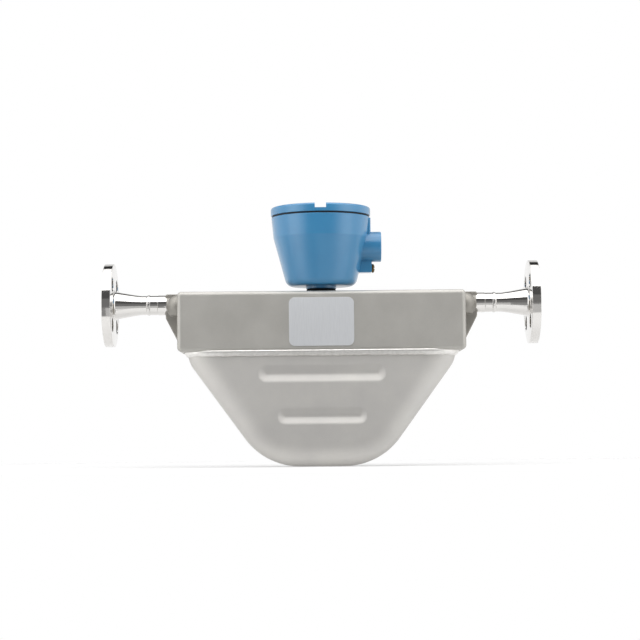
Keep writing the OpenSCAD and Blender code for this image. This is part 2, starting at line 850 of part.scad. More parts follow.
module terminal_block() color("#3f6b3a") from_mid() translate([0, 0, module_z + module_h]) {
    pitch = terminal_l / terminal_count;
    screw_share = 0.5;
    entry_share = 0.35;
    entry_z = terminal_h * 0.3;
    difference() {
        translate([-terminal_l / 2, -terminal_w / 2, 0]) cube([terminal_l, terminal_w, terminal_h]);
        for (k = [0 : terminal_count - 1])
            translate([pitch * (k + 0.5) - terminal_l / 2, 0, 0]) {
                translate([0, 0, terminal_h / 2]) cylinder(d = pitch * screw_share, h = terminal_h);
                translate([0, 0, entry_z]) rotate([90, 0, 0])
                    cylinder(d = pitch * entry_share, h = terminal_w);
            }
    }
}

// ---- Measuring tubes ----

leg_x = pan_l / 2 - tube_inset;
loop_low = pan_low + tube_inset;
// The tubes start this far inside the case's wall, in their sockets
socket_depth = 0.3;
tube_start = case_end - case_wall - socket_depth;
// Corners of the tubes' centre line in the XZ plane, inlet to outlet, and their bend radii
half_route = [
    [-leg_x, 0],
    [-leg_x, slope_z(leg_x, tube_inset)],
    [-slope_x(loop_low, tube_inset), loop_low]
];
tube_route = concat(
    [[-tube_start, 0]],
    half_route,
    [for (k = [2 : -1 : 0]) [-half_route[k][0], half_route[k][1]]],
    [[tube_start, 0]]
);
bend_radii = [0, top_bend_r, hip_bend_r, heel_bend_r, heel_bend_r, hip_bend_r, top_bend_r, 0];

function unit(v) = v / norm(v);
function cross2(a, b) = a[0] * b[1] - a[1] * b[0];
// Signed turn at corner k of a route, and the length of its tangents
function turn(route, k) =
    let (a = unit(route[k] - route[k - 1]), b = unit(route[k + 1] - route[k]))
    atan2(cross2(a, b), a * b);
function tangent(route, radii, k) =
    radii[k] == 0 ? 0 : radii[k] * tan(abs(turn(route, k)) / 2);

// A route's corners rounded into bends: points in the plane, with this many degrees to a step
bend_step = 18;
function rounded_route(route, radii) =
    let (last = len(route) - 1)
    [for (k = [0 : last])
        if (radii[k] == 0) route[k]
        else
            let (
                heading = unit(route[k] - route[k - 1]),
                bend = turn(route, k),
                side = sign(bend),
                start = route[k] - heading * tangent(route, radii, k),
                centre = start + side * radii[k] * [-heading[1], heading[0]],
                first = atan2(heading[1], heading[0]) - side * 90
            )
            each arc(centre, radii[k], first, first + bend, ceil(abs(bend) / bend_step))];

// Direction of a line of points at point k
function heading_at(line, k) =
    unit(line[min(k + 1, len(line) - 1)] - line[max(k - 1, 0)]);

// A tube swept along points in the XZ plane: rings of the outer wall out, then of the bore back
module swept_tube(line, d, wall) {
    sides = tube_sides;
    count = len(line);
    rings = concat(
        [for (k = [0 : count - 1]) [k, d / 2]],
        [for (k = [count - 1 : -1 : 0]) [k, d / 2 - wall]]
    );
    points = [
        for (ring = rings)
            let (h = heading_at(line, ring[0]), p = line[ring[0]])
            for (j = [0 : sides - 1])
                let (a = 360 * j / sides, u = ring[1] * cos(a), v = ring[1] * sin(a))
                [p[0] - h[1] * u, v, p[1] + h[0] * u]
    ];
    loops = len(rings);
    faces = [
        for (i = [0 : loops - 1])
            for (j = [0 : sides - 1])
                let (n = (i + 1) % loops, m = (j + 1) % sides)
                each [[i * sides + j, n * sides + m, i * sides + m],
                      [i * sides + j, n * sides + j, n * sides + m]]
    ];
    polyhedron(points, faces);
}

module flow_tube(side) from_mid() translate([0, side * tube_gap / 2, 0])
    swept_tube(rounded_route(tube_route, bend_radii), tube_d, tube_wall);

module flow_tube_front() color("silver") flow_tube(-1);

module flow_tube_rear() color("silver") flow_tube(1);

// Top of the upper brace plate
brace_top = -top_bend_r - brace_margin;

module brace_plate() translate([-leg_x, 0, 0]) linear_extrude(brace_t) difference() {
    r = tube_d / 2 + brace_rim;
    union() {
        for (side = [-1, 1]) translate([0, side * tube_gap / 2]) circle(r);
        translate([-r, -tube_gap / 2]) square([2 * r, tube_gap]);
    }
    for (side = [-1, 1]) translate([0, side * tube_gap / 2]) circle(d = tube_d + 2 * braze_play);
}

module braces(outlet) at_end(outlet)
for (k = [0, 1])
    translate([0, 0, brace_top - brace_t - k * brace_pitch]) brace_plate();

module inlet_braces() color("silver") braces(false);

module outlet_braces() color("silver") braces(true);

// Distance of a saddle's flat from the plane between the tubes
saddle_y = tube_gap / 2 - tube_d / 2 - saddle_floor;

// Places of the drive and of the two pickoffs: [x, z, slope of the tube there]
hip_p = half_route[1];
heel_p = half_route[2];
pickoff_p = hip_p + (heel_p - hip_p) * pickoff_at;
sensor_places = [
    [0, loop_low, 0],
    [pickoff_p[0], pickoff_p[1], slope],
    [-pickoff_p[0], pickoff_p[1], -slope]
];

module at_place(k) from_mid()
    translate([sensor_places[k][0], 0, sensor_places[k][1]])
        rotate([0, sensor_places[k][2], 0]) children();

// Saddles brazed to the tubes: each carries a coil or a magnet
module tube_saddles() color("silver")
for (k = [0 : 2])
    at_place(k) for (side = [-1, 1])
        difference() {
            translate([0, side * (saddle_y + saddle_t / 2), 0])
                cube([saddle_w, saddle_t, saddle_w], center = true);
            translate([-saddle_w, side * tube_gap / 2, 0]) rotate([0, 90, 0])
                cylinder(d = tube_d + 2 * braze_play, h = 2 * saddle_w);
        }

pole_d = magnet_d / 2;
pole_play = 1;

// A coil on its bobbin, against the front saddle
module coil(k) at_place(k) rotate([90, 0, 0]) translate([0, 0, air_gap / 2])
    rotate_extrude() {
        depth = saddle_y - air_gap / 2;
        flange_w = 1;
        bore_r = pole_d / 2 + pole_play;
        translate([bore_r, 0]) square([coil_d / 2 - bore_r, flange_w]);
        translate([bore_r, depth - flange_w]) square([coil_d / 2 - bore_r, flange_w]);
        translate([bore_r, 0]) square([coil_d / 2 - bore_r - flange_w, depth]);
    }

// A magnet with its pole pin, against the rear saddle
module magnet(k) at_place(k) rotate([-90, 0, 0]) {
    translate([0, 0, air_gap / 2]) cylinder(d = magnet_d, h = saddle_y - air_gap / 2);
    translate([0, 0, -saddle_y / 2]) cylinder(d = pole_d, h = saddle_y / 2 + air_gap);
}

module drive_coil() color("#a8622f") coil(0);

module drive_magnet() color("#55585c") magnet(0);

module inlet_pickoff_coil() color("#a8622f") coil(1);

module inlet_pickoff_magnet() color("#55585c") magnet(1);

module outlet_pickoff_coil() color("#a8622f") coil(2);

module outlet_pickoff_magnet() color("#55585c") magnet(2);

element_x = -leg_x + tube_d / 2 + element_d / 2 + braze_play;
element_top = brace_top - brace_t - element_drop;

// The temperature element, bonded to the front tube between the inlet braces
module temperature_sensor() color("#e8e4d8") from_mid()
    translate([element_x, -tube_gap / 2, element_top - element_l])
        cylinder(d = element_d, h = element_l);

module lead_board() color("#2f6b45") from_mid()
    translate([-board_l / 2, -board_w / 2, board_top - board_t]) cube([board_l, board_w, board_t]);

// A straight lead between two points
module lead(a, b) {
    run = b - a;
    flat = norm([run[0], run[1]]);
    translate(a) rotate([0, atan2(flat, run[2]), atan2(run[1], run[0])])
        cylinder(d = lead_d, h = norm(run));
}

module coil_leads() color("#b8b23a") from_mid() {
    y = -(saddle_y + air_gap / 2) / 2;
    z = board_top - board_t - lead_d / 2 - lead_play;
    lead([0, y, z], [0, y, loop_low + coil_d / 2]);
    for (side = [-1, 1])
        lead([side * (board_l / 2 - lead_inset), y, z],
             [-side * pickoff_p[0], y, pickoff_p[1] + coil_d / 2]);
    lead([-board_l / 2 + corner_inset, -board_w / 2 + corner_inset, z],
         [element_x + (element_d + lead_d) / 2 + lead_play, -tube_gap / 2, element_top - element_l / 2]);
}

inlet_flange();
outlet_flange();
flange_welds();
inlet_manifold();
outlet_manifold();
upper_case();
lower_case_front();
lower_case_rear();
case_weld();
case_seam_weld();
label_plate();
neck_adapter();
feedthrough();
housing_body();
housing_cover();
cover_seal();
ground_screw();
core_module();
module_screws();
terminal_block();
flow_tube_front();
flow_tube_rear();
inlet_braces();
outlet_braces();
tube_saddles();
drive_coil();
drive_magnet();
inlet_pickoff_coil();
inlet_pickoff_magnet();
outlet_pickoff_coil();
outlet_pickoff_magnet();
temperature_sensor();
lead_board();
coil_leads();
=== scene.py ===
import math

import bmesh
import bpy
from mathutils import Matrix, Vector, noise
from mathutils.geometry import delaunay_2d_cdt


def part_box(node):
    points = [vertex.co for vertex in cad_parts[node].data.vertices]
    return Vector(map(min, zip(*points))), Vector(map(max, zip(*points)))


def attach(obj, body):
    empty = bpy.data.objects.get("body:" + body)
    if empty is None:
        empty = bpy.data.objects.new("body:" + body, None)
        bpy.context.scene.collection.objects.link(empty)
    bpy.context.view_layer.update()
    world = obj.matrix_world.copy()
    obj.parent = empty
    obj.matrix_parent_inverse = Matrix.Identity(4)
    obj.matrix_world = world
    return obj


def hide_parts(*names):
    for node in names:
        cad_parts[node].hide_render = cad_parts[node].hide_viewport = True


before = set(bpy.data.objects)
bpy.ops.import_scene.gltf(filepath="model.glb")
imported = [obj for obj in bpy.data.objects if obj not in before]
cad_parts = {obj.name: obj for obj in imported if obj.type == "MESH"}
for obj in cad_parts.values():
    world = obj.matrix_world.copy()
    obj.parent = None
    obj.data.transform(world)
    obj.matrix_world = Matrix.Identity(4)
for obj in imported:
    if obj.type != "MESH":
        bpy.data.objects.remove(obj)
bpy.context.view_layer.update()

mm = 0.001

# the flow axis lies along X, and everything above the case turns about the neck's axis
midX = (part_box("inlet_flange")[0].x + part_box("outlet_flange")[1].x) / 2 / mm


def span(node, axis):
    # lowest and highest place of a node along an axis, in mm
    low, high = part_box(node)
    return low[axis] / mm, high[axis] / mm


def extent(node, axis):
    low, high = span(node, axis)
    return high - low


def addObject(name, data):
    obj = bpy.data.objects.new(name, data)
    bpy.context.scene.collection.objects.link(obj)
    return obj


# camera

cameraSettings = {
    "place": (midX, -2000, -140),
    "target": (midX - 1.6, 0, -17.3),
    "focalMm": 105.25,
    "sensorMm": 36,
    "rollDegrees": -0.55,
    "clipEnd": 50,  # metres
}


def makeCamera(s):
    camera = addObject("camera", bpy.data.cameras.new("camera"))
    camera.data.lens = s["focalMm"]
    camera.data.sensor_width = s["sensorMm"]
    camera.data.clip_end = s["clipEnd"]
    camera.location = Vector(s["place"]) * mm
    aim = Vector(s["target"]) * mm - camera.location
    camera.rotation_euler = aim.to_track_quat("-Z", "Y").to_euler()
    camera.rotation_euler.rotate_axis("Z", math.radians(s["rollDegrees"]))
    bpy.context.scene.camera = camera


makeCamera(cameraSettings)
print("camera placed")


# mesh helpers, all in mm

mergeGap = 0.002


def editMesh(obj, change):
    edit = bmesh.new()
    edit.from_mesh(obj.data)
    change(edit)
    edit.to_mesh(obj.data)
    edit.free()


def cleanNormals(obj):
    def change(edit):
        bmesh.ops.remove_doubles(edit, verts=edit.verts, dist=mergeGap * mm)
        bmesh.ops.recalc_face_normals(edit, faces=edit.faces)
    editMesh(obj, change)


def smoothBelow(obj, degrees):
    # faces meet smoothly, except where an edge turns by more than this
    limit = math.radians(degrees)

    def change(edit):
        for face in edit.faces:
            face.smooth = True
        for edge in edit.edges:
            edge.smooth = not edge.is_manifold or edge.calc_face_angle(0) < limit
    editMesh(obj, change)


def meshObject(name, verts, faces):
    mesh = bpy.data.meshes.new(name)
    mesh.from_pydata([Vector(v) * mm for v in verts], [], faces)
    return addObject(name, mesh)


def looseMesh(name, verts, faces):
    # a clean mesh in the scene: a cutter or a part of a casting is deleted once it is used
    obj = meshObject(name, verts, faces)
    cleanNormals(obj)
    return obj


def setMaterial(obj, material):
    obj.data.materials.clear()
    obj.data.materials.append(material)


def addPiece(name, verts, faces, material, node=None, body="meter", smooth=32):
    obj = looseMesh(name, verts, faces)
    setMaterial(obj, material)
    smoothBelow(obj, smooth)
    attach(obj, body)
    if node:
        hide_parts(node)
    return obj


def applyModifier(obj, kind, **settings):
    modifier = obj.modifiers.new(kind.lower(), kind)
    for key, value in settings.items():
        setattr(modifier, key, value)
    depsgraph = bpy.context.evaluated_depsgraph_get()
    mesh = bpy.data.meshes.new_from_object(obj.evaluated_get(depsgraph))
    obj.modifiers.clear()
    old = obj.data
    obj.data = mesh
    bpy.data.meshes.remove(old)


def boolean(obj, other, operation="DIFFERENCE"):
    applyModifier(obj, "BOOLEAN", operation=operation, object=other, solver="EXACT")
    bpy.data.objects.remove(other)


def roundEdges(obj, width, segments, degrees):
    applyModifier(obj, "BEVEL", width=width * mm, segments=segments, limit_method="ANGLE",
                  angle_limit=math.radians(degrees))


def softCorners(points, steps=5):
    # a closed outline of (a, b, radius): corners with a radius become arcs
    out = []
    count = len(points)
    for k, (a, b, radius) in enumerate(points):
        here = Vector((a, b))
        if radius <= 0:
            out.append((a, b))
            continue
        before = (Vector(points[k - 1][:2]) - here).normalized()
        after = (Vector(points[(k + 1) % count][:2]) - here).normalized()
        half = before.angle(after) / 2
        back = radius / math.tan(half)
        centre = here + (before + after).normalized() * radius / math.sin(half)
        start = here + before * back - centre
        end = here + after * back - centre
        first = math.atan2(start.y, start.x)
        swing = (math.atan2(end.y, end.x) - first + math.pi) % (2 * math.pi) - math.pi
        for n in range(steps + 1):
            angle = first + swing * n / steps
            out.append((centre.x + radius * math.cos(angle), centre.y + radius * math.sin(angle)))
    return out


def gridFaces(rows, count, rowsClose=False, rings=False, first=0):
    # faces of rows of count points: rowsClose joins the last row to the first, rings closes each row
    faces = []
    for n in range(rows if rowsClose else rows - 1):
        here, there = first + n * count, first + (n + 1) % rows * count
        for k in range(count if rings else count - 1):
            j = (k + 1) % count
            faces.append((here + k, here + j, there + j, there + k))
    return faces


def turned(profile, sides, place, closed=True):
    # verts and faces of a lathe: profile is (along, radius), place turns (along, radius, angle) to a point
    verts = [place(a, r, 2 * math.pi * n / sides) for n in range(sides) for a, r in profile]
    return verts, gridFaces(sides, len(profile), True, closed)


def turnedSolid(name, profile, sides, place):
    # a loose solid whose profile starts and ends on its axis
    return looseMesh(name, *turned(profile, sides, place, closed=False))


def aboutX(x, y=0, z=0, sign=1):
    return lambda a, r, t: (x + sign * a, y + r * math.cos(t), z + r * math.sin(t))


def aboutZ(x, z):
    return lambda a, r, t: (x + r * math.cos(t), r * math.sin(t), z + a)


# how steep a thread's flanks are, how wide its crest is and how finely its wall is stepped
threadSettings = {"flank": 2.7, "crest": 1.35, "step": 0.3, "wallTolerance": 0.01}


def threaded(place, radius, low, high, depth, pitch, s=threadSettings):
    # the lathe point, with a screw thread cut into the wall of this radius between low and high
    def point(a, r, t):
        if abs(r - radius) < s["wallTolerance"] and low < a < high:
            phase = (a / pitch - t / (2 * math.pi)) % 1
            fade = min(1, (a - low) / pitch, (high - a) / pitch)
            r += depth * fade * max(0, min(1, s["crest"] - s["flank"] * abs(phase - 0.5)))
        return place(a, r, t)
    return point


def threadWall(low, high, radius):
    # closely spaced profile points along a wall that carries a thread
    count = max(2, round(abs(high - low) / threadSettings["step"]))
    return [(low + (high - low) * k / count, radius, 0) for k in range(count + 1)]


def prism(outline, low, high, place):
    count = len(outline)
    verts = [place(a, b, w) for w in (low, high) for a, b in outline]
    faces = [tuple(range(count)), tuple(range(2 * count - 1, count - 1, -1))]
    return verts, faces + gridFaces(2, count, rings=True)


def cutBox(obj, name, low, high):
    verts = [(x, y, z) for x in (low[0], high[0]) for y in (low[1], high[1]) for z in (low[2], high[2])]
    faces = [(0, 1, 3, 2), (4, 6, 7, 5), (0, 4, 5, 1), (2, 3, 7, 6), (0, 2, 6, 4), (1, 5, 7, 3)]
    boolean(obj, looseMesh(name, verts, faces))


def denseLine(points, spacing):
    # points along a line of straight stretches, about this far apart
    dense = []
    for a, b in zip(points, points[1:]):
        steps = max(1, round((b - a).length / spacing))
        dense += [a.lerp(b, k / steps) for k in range(steps)]
    return dense


# materials

def linear(code):
    # sRGB hex to a linear colour
    parts = [int(code[k:k + 2], 16) / 255 for k in (1, 3, 5)]
    return tuple(p / 12.92 if p <= 0.04045 else ((p + 0.055) / 1.055) ** 2.4 for p in parts) + (1,)


def addNode(tree, kind, settings=None, values=None, links=None):
    # one node: attributes, socket values, and sockets that take another node's output
    node = tree.nodes.new(kind)
    for key, value in (settings or {}).items():
        setattr(node, key, value)
    for key, value in (values or {}).items():
        node.inputs[key].default_value = value
    for key, output in (links or {}).items():
        tree.links.new(output, node.inputs[key])
    return node


def newMaterial(name, values):
    material = bpy.data.materials.new(name)
    material.use_nodes = True
    tree = material.node_tree
    shader = tree.nodes["Principled BSDF"]
    for key, value in values.items():
        shader.inputs[key].default_value = value
    return material, tree, shader


even = (1, 1, 1)
usualRange = (0.3, 0.7)  # the range that most of a pattern's values fall in


def makeFinish(name, s):
    # two close tones in clouds, and a grain that gives the relief. clouds and grain are
    # (size in mm, detail, stretch) in object coordinates, and roughness follows one of them
    material, tree, shader = newMaterial(name, s["shader"])
    place = addNode(tree, "ShaderNodeTexCoord").outputs["Object"]
    patterns = {}
    for part in ("clouds", "grain"):
        sizeMm, detail, stretch = s[part]
        mapped = addNode(tree, "ShaderNodeMapping", values={"Scale": stretch}, links={"Vector": place})
        patterns[part] = addNode(tree, "ShaderNodeTexNoise",
                                 values={"Scale": 1 / (sizeMm * mm), "Detail": detail},
                                 links={"Vector": mapped.outputs["Vector"]}).outputs["Fac"]
    ranges = {"tone": ("clouds", s.get("contrast", usualRange), (0, 1))}
    if "roughness" in s:
        ranges["roughness"] = (s.get("roughnessFollows", "grain"), usualRange, s["roughness"])
    spread = {}
    for key, (part, taken, given) in ranges.items():
        spread[key] = addNode(tree, "ShaderNodeMapRange",
                              values={"From Min": taken[0], "From Max": taken[1],
                                      "To Min": given[0], "To Max": given[1]},
                              links={"Value": patterns[part]}).outputs["Result"]
    if "roughness" in spread:
        tree.links.new(spread["roughness"], shader.inputs["Roughness"])
    light, dark = s["colours"]
    mix = addNode(tree, "ShaderNodeMix", {"data_type": "RGBA"}, {"A": linear(light), "B": linear(dark)},
                  {0: spread["tone"]})
    tree.links.new(mix.outputs["Result"], shader.inputs["Base Color"])
    depthMm, strength = s["relief"]
    bump = addNode(tree, "ShaderNodeBump", values={"Distance": depthMm * mm, "Strength": strength},
                   links={"Height": patterns["grain"]})
    for socket in s.get("reliefOn", ["Normal"]):
        tree.links.new(bump.outputs["Normal"], shader.inputs[socket])
    return material


# 316L turned and then polished: sharp bands of light, with hair lines left along the turning
polished = makeFinish("polishedStainless", {
    "shader": {"Metallic": 1},
    "colours": ("#e4e2df", "#dddbd8"),
    "clouds": (18, 2, even),
    "contrast": (0, 1),
    "grain": (0.5, 3, (0.04, 1, 1)),
    "roughness": (0.05, 0.13),
    "relief": (0.01, 0.2),
})


def blastedStainless(name, colours, gritMm, depthMm):
    # stainless sheet or casting after bead blasting: a satin grey with a fine even grit.
    # real bead marks are about 0.1 mm, drawn coarser so that they show
    return makeFinish(name, {
        "shader": {"Metallic": 1},
        "colours": colours,
        "clouds": (30, 3, even),
        "grain": (gritMm, 4, even),
        "roughness": (0.56, 0.65),
        "relief": (depthMm, 0.6),
    })


blastedSheet = blastedStainless("blastedStainlessSheet", ("#d6d4d0", "#d0cecb"), 0.55, 0.02)
blastedPlate = blastedStainless("blastedStainlessPlate", ("#c6c4bf", "#bebcb7"), 0.55, 0.02)
blastedCast = blastedStainless("blastedStainlessCasting", ("#a9a6a0", "#9f9c96"), 0.9, 0.04)

# as-welded stainless, brushed clean: brighter than the sheet, rippled and slightly mottled; its colour is
# set brighter still so that the welds, which face down, read as light bands, which is painted light
weld = makeFinish("weldBeadStainless", {
    # painted light: these tones are raised so that the down-facing beads look lit
    "shader": {"Metallic": 1},
    "colours": ("#efedea", "#e2e0dc"),
    "clouds": (3.5, 3, even),
    "grain": (1.6, 2, even),
    "roughness": (0.36, 0.48),
    "roughnessFollows": "clouds",
    "relief": (0.05, 0.4),
})

# die-cast aluminium under a polyurethane enamel: satin gloss with a faint orange peel
enamel = makeFinish("blueEnamel", {
    "shader": {"IOR": 1.5, "Roughness": 0.3, "Coat Weight": 0.8, "Coat Roughness": 0.24},
    "colours": ("#3b86b4", "#3681b0"),
    "clouds": (22, 3, even),
    "grain": (1.6, 2, even),
    "relief": (0.03, 0.35),
    "reliefOn": ["Normal", "Coat Normal"],
})

# satin anodised aluminium foil plate: pale, with fine upright brushing
label = makeFinish("labelFoil", {
    "shader": {"Metallic": 0.25},
    "colours": ("#d9dbde", "#d1d3d6"),
    "clouds": (0.35, 3, (1, 1, 0.03)),
    "grain": (0.35, 3, (1, 1, 0.03)),
    "roughness": (0.3, 0.38),
    "relief": (0.006, 0.4),
})


def grainedFinish(name, colours, roughness, grainMm, depthMm, **shader):
    # a moulded, dipped, plated or drawn surface, whose tones and gloss follow one fine grain
    return makeFinish(name, {
        "shader": shader,
        "colours": colours,
        "clouds": (grainMm, 3, even),
        "grain": (grainMm, 3, even),
        "roughness": (roughness * 0.88, min(roughness * 1.12, 1)),
        "relief": (depthMm, 0.4),
    })


# turned steel with a black oxide: nearly matt and almost black
blackOxide = grainedFinish("blackOxideSteel", ("#1a1918", "#131211"), 0.62, 0.8, 0.02, IOR=1.4)

# moulded rubber ring: black, with a dull soft sheen
sealRubber = grainedFinish("mouldedRubber", ("#0b0b0b", "#141414"), 0.6, 0.6, 0.02, IOR=1.52)

# brass left in the open air: brown, with some of its shine left
agedBrass = grainedFinish("agedBrass", ("#7c6738", "#43351c"), 0.34, 1.2, 0.03, Metallic=1)

# the finishes of what is inside

# gold-plated brass pins: small bright yellow glints
platedBrass = grainedFinish("platedBrassPins", ("#c6a44c", "#b08f3c"), 0.25, 0.5, 0.01, Metallic=1)
# potted epoxy: dark, smooth and half glossy
pottedBlock = grainedFinish("pottedEpoxy", ("#1c1e21", "#25282c"), 0.42, 3, 0.05, IOR=1.5)
# zinc-plated steel: pale and bright
zincScrew = grainedFinish("zincPlatedSteel", ("#c9c8c2", "#b5b4ae"), 0.3, 0.7, 0.01, Metallic=1)
# moulded nylon: a satin green
greenNylon = grainedFinish("mouldedNylon", ("#2c6a3c", "#28613a"), 0.48, 1.0, 0.02, IOR=1.53)
# drawn stainless tube: grey with a soft shine
drawnTube = grainedFinish("drawnStainlessTube", ("#b9b7b3", "#a8a6a1"), 0.26, 0.6, 0.01, Metallic=1)
# enamelled copper wire: red-brown and glossy
woundCopper = grainedFinish("enamelledCopperWire", ("#b4622c", "#93481d"), 0.3, 0.4, 0.06, Metallic=1)
# nickel-plated magnet: a smooth grey shine
nickelMagnet = grainedFinish("nickelPlatedMagnet", ("#8d8c89", "#7b7a78"), 0.22, 0.6, 0.01, Metallic=1)
# fired ceramic: off-white and nearly matt
whiteCeramic = grainedFinish("firedCeramic", ("#e9e4d8", "#dfd9cb"), 0.55, 0.8, 0.02, IOR=1.6)
# lacquered board: a glossy green
boardLacquer = grainedFinish("lacqueredBoard", ("#1f5a37", "#1a4f31"), 0.35, 1.4, 0.02, IOR=1.5)
# polyimide film: a clear amber
leadFilm = grainedFinish("polyimideFilm", ("#b98a2c", "#a57a25"), 0.3, 0.9, 0.01, IOR=1.6)
print("materials made")


# flanges with their hubs

flangeSettings = {
    "faceRadius": 17.45,
    "faceHeight": 1.6,
    "faceEdge": 0.4,
    "faceFillet": 0.3,
    "thickness": 11.2,
    "boltCircle": 60.3,
    "boltHole": 15.9,
    "boltCount": 4,
    "hole": 15.8,
    "holeEdge": 0.5,
    "hubStart": 15.1,
    "hubMid": (31, 11.5, 24),  # along, radius and how gently it blends
    "hubEnd": (40, 10.2, 10),
    "hubFillet": 3,
    "edge": 0.55,
    "sides": 192,
    "holeSides": 48,
    "overrun": 2,  # how far a cutter runs past the flange
}


def flangePiece(name, node, sign, s):
    start = span(node, 0)[0 if sign > 0 else 1]
    length = extent(node, 0)
    rim = extent(node, 2) / 2
    bore = s["hole"] / 2
    profile = softCorners([
        (0, bore, s["holeEdge"]),
        (0, s["faceRadius"], s["faceEdge"]),
        (s["faceHeight"], s["faceRadius"], s["faceFillet"]),
        (s["faceHeight"], rim, s["edge"]),
        (s["thickness"], rim, s["edge"]),
        (s["thickness"], s["hubStart"], s["hubFillet"]),
        s["hubMid"],
        s["hubEnd"],
        (length, s["hubEnd"][1], 0),
        (length, bore, 0),
    ], 6)
    flange = addPiece(name, *turned(profile, s["sides"], aboutX(start, sign=sign)), polished, node)
    lip, past = s["edge"], s["overrun"]
    front, back = s["faceHeight"], s["thickness"]
    hole = s["boltHole"] / 2
    cutter = [(front - past, 0), (front - past, hole + lip + past), (front + lip, hole),
              (back - lip, hole), (back + past, hole + lip + past), (back + past, 0)]
    for k in range(s["boltCount"]):
        angle = 2 * math.pi * (k + 0.5) / s["boltCount"]
        y, z = (s["boltCircle"] / 2 * f(angle) for f in (math.cos, math.sin))
        boolean(flange, turnedSolid("holeCutter", cutter, s["holeSides"], aboutX(start, y, z, sign)))
    smoothBelow(flange, 28)


flangePiece("inletFlange", "inlet_flange", 1, flangeSettings)
flangePiece("outletFlange", "outlet_flange", -1, flangeSettings)
print("flanges made")


# butt welds behind the hubs

buttWeldSettings = {
    "fromFace": 47.8,
    "surface": 10.3,
    "halfWidth": 2.1,
    "rootHalfWidth": 1.4,
    "crown": 0.72,
    "sunk": 0.08,
    "bore": 7.9,
    "ripples": 46,
    "rippleHeight": 0.12,
    "wander": 0.56,
    "wanderWaves": 2,
    "steps": 9,
    "sides": 276,
}


def buttWelds(s):
    verts, faces = [], []
    steps = s["steps"]
    for start, sign in ((0, 1), (2 * midX, -1)):
        place = aboutX(start, sign=sign)
        base = len(verts)
        for n in range(s["sides"]):
            angle = 2 * math.pi * n / s["sides"]
            seat = Vector((math.cos(angle) * s["wanderWaves"], math.sin(angle) * s["wanderWaves"], start))
            drift = noise.noise(seat) * s["wander"]
            ripple = abs(math.sin(angle * s["ripples"] / 2)) * s["rippleHeight"]
            for k in range(steps + 1):
                t = 2 * k / steps - 1
                bulge = (1 - t * t) * (s["crown"] - ripple) - s["sunk"]
                verts.append(place(s["fromFace"] + t * s["halfWidth"] + drift, s["surface"] + bulge, angle))
            for t in (1, -1):
                verts.append(place(s["fromFace"] + t * s["rootHalfWidth"], s["bore"], angle))
        faces += gridFaces(s["sides"], steps + 3, True, True, base)
    piece = addPiece("flangeWelds", verts, faces, polished, "flange_welds", smooth=60)


buttWelds(buttWeldSettings)


# cast manifolds: stub, web and the two domes in one casting

manifoldSettings = {
    "stubRadius": 10.65,
    "stubSkin": 0.05,  # the casting stays this much below the turned stub
    "stubReach": 3,
    "stubEnd": 183.2,
    "stubEdge": 0.3,
    "stubSides": 160,
    "prepRadius": 10.35,
    "prepLength": 8.5,
    "prepDip": 0.2,
    "prepDipRound": 0.1,
    "prepRise": 0.5,
    "prepRound": 0.2,
    "hole": 7.9,
    "webReach": 13.8,
    "webThickness": 16,
    "webRound": 4,
    "webTop": 11.3,
    "webTopRound": 1.6,
    "webOuter": 14.6,
    "webOuterRound": 5,
    "webFoot": 41.5,
    "domeRadius": 12.6,
    "domeSide": 13,
    "domeDrop": 2.8,
    "domeFloor": 12.4,
    "domeSteps": 24,
    "domeSides": 72,
    "castSides": 96,
    "lap": 1,
    "caseLap": 0.4,
    "trimLow": (-60, -70),
    "trimHigh": (60, 40),
    "trimReach": 80,
    "voxel": 0.5,
    "smoothing": 4,
    "smoothFactor": 0.5,
}


def domeSolid(s, caseEnd, y):
    # a ball against the end of the case, with its underside cut flat
    radius, steps = s["domeRadius"], s["domeSteps"]
    profile = [(-radius * math.cos(math.pi * k / steps), radius * math.sin(math.pi * k / steps))
               for k in range(steps + 1)]

    def place(a, r, t):
        return (midX - (caseEnd + r * math.cos(t)), y + r * math.sin(t),
                max(a - s["domeDrop"], -s["domeFloor"]))
    return turnedSolid("dome", profile, s["domeSides"], place)


def castBranch(s, caseEnd):
    # the inlet's casting: a rounded web whose lower edge slopes back to the case, and two domes
    inside = caseEnd - s["lap"]
    reach = caseEnd + s["webReach"]
    web = softCorners([
        (reach, s["webTop"], s["webTopRound"]),
        (reach, -s["webOuter"], s["webOuterRound"]),
        (caseEnd, -s["webFoot"], 0),
        (inside, -s["webFoot"] + s["lap"], 0),
        (inside, s["webTop"], 0),
    ], 5)
    half = s["webThickness"] / 2
    casting = looseMesh("casting", *prism(web, -half, half, lambda a, z, y: (midX - a, y, z)))
    roundEdges(casting, s["webRound"], 4, 50)
    radius, end = s["stubRadius"] - s["stubSkin"], reach + s["stubReach"]
    stub = [(inside, 0), (inside, radius), (end, radius), (end, 0)]
    parts = [turnedSolid("stub", stub, s["castSides"], aboutX(midX, sign=-1))]
    parts += [domeSolid(s, caseEnd, y) for y in (-s["domeSide"], s["domeSide"])]
    for part in parts:
        boolean(casting, part, "UNION")
    face = midX - caseEnd + s["caseLap"]
    cutBox(casting, "trim", (face, *s["trimLow"]), (face + s["trimReach"], *s["trimHigh"]))
    applyModifier(casting, "REMESH", mode="VOXEL", voxel_size=s["voxel"] * mm)
    applyModifier(casting, "SMOOTH", factor=s["smoothFactor"], iterations=s["smoothing"])
    setMaterial(casting, blastedCast)
    for polygon in casting.data.polygons:
        polygon.use_smooth = True
    return casting


